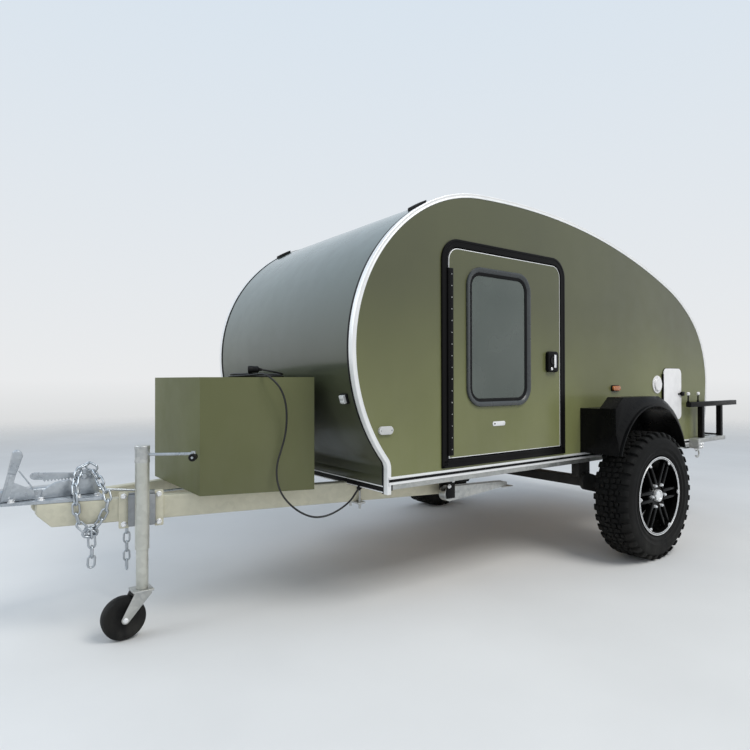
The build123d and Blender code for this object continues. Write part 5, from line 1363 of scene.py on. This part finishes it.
finish_piece("coupler_bellows", placed(lathe(bellows, 40, "X"), at(-2.395, 0.0, 0.605)), "soft black",
             smooth=60)


def bolt_piece(name, form, places, finish="machined", body="trailer"):
    finish_piece(name, scattered(form, places, finish), finish, [], body)


bolt_piece("coupler_bolts", hex_bolt(19, 10, 14.5), [
    ((x, side * y, 0.582), (0, 0, 1), x - LENGTH_SHIFT, 1.0)
    for x, y in ((-2.285, 0.060), (-2.180, 0.075), (-2.045, 0.100), (-1.975, 0.115)) for side in (-1, 1)])

# %% [markdown]
# ## Safety chains
#
# A chain is one bent and welded link, repeated with a quarter turn. The tree resamples the chain's
# line at the link's pitch and puts a link at each place.

# %% Chain tree
CHAIN_PITCH = 0.040
LINK_BAR, LINK_HALF_WIDTH, LINK_STRAIGHT = 0.0047, 0.0135, 0.0110
CHAIN, taken = empty_tree("links along a line", Form="Object", Pitch="Float")
even = add(CHAIN, "GeometryNodeResampleCurve", {"Curve": taken["Geometry"], "Length": taken["Pitch"]},
           mode="LENGTH")
quarter = maths(CHAIN, "MULTIPLY", add(CHAIN, "GeometryNodeInputIndex"), math.pi / 2)
put_form(CHAIN, taken, even, spun(CHAIN, "X", add(CHAIN, "GeometryNodeInputTangent"), "X", quarter))


def link_mesh(rows=20, sides=8):
    """A ring bar bent into a long loop."""
    points, faces = [], []
    for row in range(rows):
        angle = 2 * math.pi * row / rows
        centre_x = LINK_STRAIGHT * (1 if math.cos(angle) >= 0 else -1)
        out = Vector((math.cos(angle), math.sin(angle), 0))
        for number in range(sides):
            turn = 2 * math.pi * number / sides
            place = out * (LINK_HALF_WIDTH + LINK_BAR * math.cos(turn))
            points.append((centre_x + place.x, place.y, LINK_BAR * math.sin(turn)))
            after, beside = (row + 1) % rows, (number + 1) % sides
            faces.append((row * sides + number, after * sides + number, after * sides + beside,
                          row * sides + beside))
    return mesh_from(points, faces, 1e-7)


def smooth_line(places, steps=8):
    """Points on a smooth line through some places in millimetres before the shift."""
    rows = [Vector(p) * MM + Vector((LENGTH_SHIFT, 0, 0)) for p in places]
    rows = [rows[0]] + rows + [rows[-1]]
    line = []
    for number in range(1, len(rows) - 2):
        a, b, c, d = rows[number - 1:number + 3]
        for t in [step / steps for step in range(steps)]:
            line.append(0.5 * (2 * b + (c - a) * t + (2 * a - 5 * b + 4 * c - d) * t * t
                               + (3 * b - a - 3 * c + d) * t * t * t))
    return line + [rows[-2]]


CHAIN_LINES = [
    [(-2948, -164, 446), (-2983, -158, 470), (-3000, -153, 515), (-3002, -153, 560),
     (-3004, -144, 604), (-2997, -112, 642), (-2982, -82, 682), (-2958, -64, 710),
     (-2932, -68, 706), (-2912, -98, 666), (-2898, -140, 624), (-2886, -176, 586),
     (-2890, -182, 545), (-2906, -178, 505), (-2928, -170, 468), (-2946, -164, 446)],
    [(-2947, -164, 440), (-2944, -164, 375), (-2946, -164, 318)],
    [(-2726, 169, 445), (-2726, 169, 310), (-2726, 169, 182)],
]
# Columns of the larger links at the ends: place, axis of the quarter turn, scale
END_LINKS = [((-2.057, -0.112, 0.612), "Y", 1.25), ((-2.011, -0.164, 0.439), "X", 1.15),
             ((-1.786, 0.169, 0.459), "Y", 1.0)]
chain_parts = [run_tree(CHAIN, line_curve(smooth_line(line)), "bright zinc", link_mesh(), Pitch=CHAIN_PITCH)
               for line in CHAIN_LINES]
chain_parts += [placed(link_mesh(), at(*place) @ turned(90, axis) @ Matrix.Scale(scale, 4))
                for place, axis, scale in END_LINKS]
finish_piece("safety_chains_finished", joined(chain_parts), "bright zinc", ["safety_chains"], smooth=60)

# %% [markdown]
# ## Jockey wheel
#
# The jockey wheel's outer tube is clamped to the beam by a saddle between two flanges with four
# bolts. Its crank has a bright arm and a black grip. The solid wheel has a rounded tread.

# %% Jockey tube, crank and wheel
JOCKEY_X, JOCKEY_Y = -1.825, -0.25355
AXLE_X, AXLE_Z = -1.900, 0.088
CRANK_TURN = math.radians(30)
TUBE_SECTION = [(25.5, 362), (28.5, 362), (29, 364), (29, 726), (30, 728), (25.5, 728)]
CAP_SECTION = [(25.5, 728), (30.5, 728), (31, 732), (30, 740), (30, 782), (31, 784), (31, 797),
               (29, 799.5), (0, 800), (0, 782), (25.5, 782)]
JOCKEY_TREAD = [(8.5, -26), (50, -26), (56, -29), (72, -31), (82, -27), (87, -18), (88, 0), (87, 18),
                (82, 27), (72, 31), (56, 29), (50, 26), (8.5, 26)]
jockey_place = at(JOCKEY_X, JOCKEY_Y, 0)
crank_along = Vector((math.cos(CRANK_TURN), -math.sin(CRANK_TURN), 0))
crank_across = Vector((math.sin(CRANK_TURN), math.cos(CRANK_TURN), 0))
crank_root = Vector((JOCKEY_X, JOCKEY_Y, 0.761))
crank_end = crank_root + crank_along * 0.212
grip_low = crank_end + Vector((0, 0, -0.013))
crank_parts = [tube_mesh([crank_root + crank_along * 0.027, crank_end], 0.0065, 16),
               placed(lathe([(0, -12), (10, -12), (10, 12), (0, 12)], 20), at(*crank_end)),
               tube_mesh([grip_low + crank_across * 0.011, grip_low - crank_across * 0.036], 0.0055, 12)]
crank_grip = placed(lathe([(6, -10), (14, -10), (16.5, -8), (15, 10), (16.5, 30), (14, 32), (6, 32)], 28),
                    at(*grip_low) @ facing(-crank_across))
finish_piece("jockey_tube_finished", placed(lathe(TUBE_SECTION, 40), jockey_place), "tube zinc",
             ["jockey_tube"], smooth=35)
finish_piece("jockey_tube_cap", placed(lathe(CAP_SECTION, 40), jockey_place), "galvanised", smooth=35)
finish_piece("jockey_crank_finished", joined(crank_parts), "bright zinc", ["jockey_crank"], smooth=35)
finish_piece("jockey_crank_grip", crank_grip, "soft black", smooth=35)
finish_piece("jockey_wheel_finished",
             placed(lathe(JOCKEY_TREAD, 64, "Y", closed=True), at(AXLE_X, JOCKEY_Y, AXLE_Z)),
             "jockey rubber", ["jockey_wheel"], "jockey_wheel", 30)

# %% Jockey clamp
BEAM_OUTWARD = Vector((-0.2414, -0.9704, 0.0)).normalized()
BEAM_ALONG = Vector((0.9704, -0.2414, 0.0))
CLAMP_MIDDLE = Vector((JOCKEY_X, -0.19055, 0.520))
clamp_turn = at(*CLAMP_MIDDLE) @ Matrix.Rotation(math.atan2(-0.2414, 0.9704), 4, "Z")
clamp_plates = [placed(plate_mesh(rounded_outline(start, end, -0.078, 0.078, 0.006), 0.010, 0.0015),
                       clamp_turn @ turned(90, "X")) for start, end in ((-0.078, -0.037), (0.066, 0.103))]
saddle = [placed(box_mesh(*box), clamp_turn) for box in (
    (-0.041, 0.070, -0.034, 0.0, -0.066, 0.066, 0.005), (-0.038, 0.067, -0.014, 0.0, -0.072, -0.066, 0.001),
    (-0.038, 0.067, -0.014, 0.0, 0.066, 0.072, 0.001))]
finish_piece("jockey_clamp_finished", joined(clamp_plates), "beam zinc", ["jockey_clamp"], smooth=35)
finish_piece("jockey_clamp_saddle", joined(saddle), "dull steel", smooth=35)
bolt_piece("clamp_bolts", hex_bolt(16, 9, 12), [
    (CLAMP_MIDDLE + BEAM_ALONG * along + Vector((0, 0, up)) + BEAM_OUTWARD * 0.0100, BEAM_OUTWARD,
     0.3 * along, 1.0) for along in (-0.058, 0.084) for up in (-0.060, 0.060)])
bolt_piece("fork_nuts", hex_bolt(14, 6, 10.5), [
    ((AXLE_X, JOCKEY_Y + side * 0.041, AXLE_Z), (0, side, 0), 0.2, 1.0) for side in (-1, 1)],
    body="jockey_fork")

# %% [markdown]
# ## Drawbar box
#
# The box is folded from sheet. Its door is on the right side, and two catches hold it shut.

# %% Box details
BOX_CORNER = Vector((-1.605, 0.336, 1.020))
BOX_ALONG, BOX_OUT = Vector((0.9499, 0.3127, 0)), Vector((-0.3127, 0.9499, 0))
catch = joined([box_mesh(-0.016, 0.016, 0.0, 0.010, -0.030, 0.030, 0.003),
                box_mesh(-0.010, 0.010, 0.010, 0.018, -0.020, 0.022, 0.003)])
catches = [placed(catch, at(*(BOX_CORNER + BOX_ALONG * along + BOX_OUT * 0.0103))
                  @ Matrix.Rotation(math.atan2(0.159, 0.483), 4, "Z")) for along in (0.170, 0.340)]
finish_piece("box_catches", joined(catches), "black frame", [], "front_box_door")

# %% [markdown]
# ## Lamps, inlet and white hatch
#
# Lamps are clear covers in a dark base. The inlet has a hinged cap on a screwed ring, and the white
# service hatch closes with a black T-handle.


# %% Lamps
def oval_lamp(x, z, height, depth):
    """The dark base and the domed cover of a lamp on the left wall."""
    parts = []
    for trim, corner, thick, edge, steps in ((0.0, 0.45, depth * 0.45, 0.001, 2),
                                             (height * 0.12, 0.38, depth, depth * 0.4, 4)):
        line = rounded_outline(x - 0.046 + trim, x + 0.046 - trim, z - height / 2 + trim,
                               z + height / 2 - trim, height * corner)
        parts.append(toward_viewer(plate_mesh(line, thick, edge, steps), -HALF_WIDTH))
    return parts


FRONT_LAMP_Y, FRONT_LAMP_Z = 0.648, 0.992
WHITE_X, WHITE_Z = -0.904, 0.849
amber_base, amber_lens = oval_lamp(0.946, 1.020, 0.040, 0.018)
white_base, white_lens = oval_lamp(WHITE_X, WHITE_Z, 0.050, 0.012)
finish_piece("amber_markers_finished", both_sides(amber_lens), "amber lens", ["amber_markers"])
finish_piece("marker_bases", both_sides(amber_base), "soft black")
nose = min((row for row in PROFILE if row[0] < 0), key=lambda row: abs(row[1] - FRONT_LAMP_Z))
nose_turn = facing(Vector((nose[2], 0, nose[3])).normalized())
front_lens, front_base = [
    joined([placed(mesh, at(nose[0], side * FRONT_LAMP_Y, nose[1]) @ nose_turn) for side in (-1, 1)])
    for mesh in (box_mesh(-0.018, 0.018, -0.020, 0.020, 0.006, 0.024, 0.005, 3),
                 box_mesh(-0.025, 0.025, -0.023, 0.023, -0.004, 0.010, 0.002))]
finish_piece("front_lamps_finished", joined([front_lens, both_sides(white_lens)]), "white lens",
             ["front_lamps"])
finish_piece("front_lamp_bases", front_base, "soft black")

# %% Tail lamps, inlet and hatch lock
BUMPER_FACE = 2.330
TAIL_Y, TAIL_Z = 0.690, 0.630
tail_base, tail_lens = [], []
for y in (-TAIL_Y, TAIL_Y):
    tail_base.append(box_mesh(BUMPER_FACE, BUMPER_FACE + 0.010, y - 0.075, y + 0.075,
                              TAIL_Z - 0.026, TAIL_Z + 0.026, 0.003))
    for first, last in ((-0.071, -0.026), (-0.023, 0.023), (0.026, 0.071)):
        tail_lens.append(box_mesh(BUMPER_FACE + 0.008, BUMPER_FACE + 0.026, y + first, y + last,
                                  TAIL_Z - 0.022, TAIL_Z + 0.022, 0.004, 3))
finish_piece("tail_lamps_finished", joined(tail_lens), "red lens", ["tail_lamps"])
finish_piece("tail_lamp_bases", joined(tail_base), "soft black")
INLET_X, INLET_Z, INLET_SCREWS = 1.467, 1.040, 0.053
inlet_cap = lathe([(61, 0), (61, 5), (58, 6.5), (49, 6.5), (47, 5), (45, 5), (44.5, 13), (41, 15.8),
                   (0, 16)], 48)
hinge_ear = box_mesh(-0.014, 0.014, 0.038, 0.056, 0.004, 0.013, 0.003)
inlet = toward_viewer(placed(joined([inlet_cap, hinge_ear]), at(INLET_X, INLET_Z, 0)), -HALF_WIDTH)
finish_piece("power_inlet_finished", inlet, "white plastic", ["power_inlet"], smooth=30)
bolt_piece("marker_screws", pan_screw(3.5, 1.8), [
    ((WHITE_X + side * 0.030, -HALF_WIDTH - 0.0115, WHITE_Z), (0, -1, 0), 0.3, 1.1) for side in (-1, 1)],
    "dull steel")
bolt_piece("small_screws", pan_screw(3.5, 1.8), [
    ((INLET_X + INLET_SCREWS * math.cos(math.radians(45 + 90 * n)), -HALF_WIDTH - 0.0065,
      INLET_Z + INLET_SCREWS * math.sin(math.radians(45 + 90 * n))), (0, -1, 0), 0.4 * n, 1.0)
    for n in range(4)])
handle = joined([box_mesh(1.738, 1.800, -0.766, -0.761, 0.964, 0.976, 0.002),
                 box_mesh(1.762, 1.806, -0.779, -0.765, 0.955, 0.987, 0.006, 3)])
finish_piece("hatch_handle", handle, "black frame", [], "access_hatch")
HATCH_SEAL = [(-6, -0.3), (-6, 1.4), (1.5, 1.4), (2.2, -0.3)]
finish_piece("hatch_seal", swept(rounded_outline(1.544, 1.790, 0.789, 1.152, 0.040), HATCH_SEAL,
                                 -HALF_WIDTH, True, "seal rubber"), "seal rubber")

# %% [markdown]
# ## Rear rails, bumper and underbody
#
# The rails end in pale caps, and two knobs clamp what is strapped on them. Bolts hold the bumper's
# side brackets, with a hook under each, and the steadies' brackets.

# %% Rear and underbody details
RACK_Z, RACK_Y, RACK_REAR = 0.893, 0.800, 2.560
CAP_HALF = 0.0182
HOOK_X, HOOK_Z, HOOK_RADIUS = 1.940, 0.532, 0.026
knob = lathe([(0, 72), (6, 71.5), (11, 68), (13, 60), (11, 52), (5, 48), (0, 48)], 24)
stem = lathe([(0, 49), (5, 49), (5, 10), (9, 9), (9, 0), (0, 0)], 24)
stems, caps, knobs, bolts, hooks, steady_bolts = [], [], [], [], [], []
for side in (-1, 1):
    y = side * RACK_Y
    caps.append(box_mesh(RACK_REAR - 0.004, RACK_REAR + 0.004, y - CAP_HALF, y + CAP_HALF,
                         RACK_Z - CAP_HALF, RACK_Z + CAP_HALF, 0.003))
    for x in (1.808, 1.956):
        knobs.append(placed(knob, at(x, y, RACK_Z + 0.018)))
        stems.append(placed(stem, at(x, y, RACK_Z + 0.018)))
    for x in (1.918, 1.952):
        spin = x - LENGTH_SHIFT
        bolts += [((x, side * 0.830, z), (0, side, 0), spin, 1.0) for z in (0.585, 0.606)]
        bolts.append(((x, y, 0.571), (0, 0, -1), spin, 1.2))
    hook = [(HOOK_X + HOOK_RADIUS * math.sin(math.radians(-60 + 280 * n / 12)), y,
             HOOK_Z - HOOK_RADIUS * math.cos(math.radians(-60 + 280 * n / 12))) for n in range(13)]
    hooks.append(tube_mesh([(HOOK_X, y, 0.572)] + hook[::-1], 0.0058, 12))
    for x in (-0.390, 1.950):
        steady_bolts += [((x + step, side * 0.641, 0.540 + step), (0, side, 0), x - LENGTH_SHIFT, 1.0)
                         for step in (-0.014, 0.014)]
finish_piece("rail_caps", joined(caps), "bright trim")
finish_piece("rail_knobs", joined(knobs), "white plastic")
finish_piece("rail_stems", joined(stems), "black frame")
bolt_piece("bumper_bolts", hex_bolt(14, 7, 11), bolts + steady_bolts)
finish_piece("hooks_and_rings", joined(hooks), "galvanised", smooth=40)
# Columns: name, outline, thickness, rounding, finish
for name, outline, thick, edge, finish in (
        ("door_grab_plate", (-0.202, -0.106, 0.834, 0.858, 0.010), 0.0025, 0.0008, "bright trim"),
        # A black plate proud of the grab plate is a painted shade for the dark hole in it
        ("door_grab_slot", (-0.192, -0.182, 0.842, 0.850, 0.003), 0.0031, 0.0003, "black frame")):
    plate = toward_viewer(plate_mesh(rounded_outline(*outline), thick, edge), DOOR_FACE)
    finish_piece(name, plate, finish, [], "door_left")
print(len(PIECES), "pieces and the lead")

# %% [markdown]
# ## Size and end
#
# The box round the finished trailer is compared with the construction model's box, and the
# differences are printed in millimetres.

# %% Size and finish
visual_low, visual_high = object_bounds()
grown = [round((low - cad) * 1000, 1) for low, cad in zip(visual_low, CAD_LOW)]
raised = [round((high - cad) * 1000, 1) for high, cad in zip(visual_high, CAD_HIGH)]
print("visual box against the construction box, mm:", grown, raised)
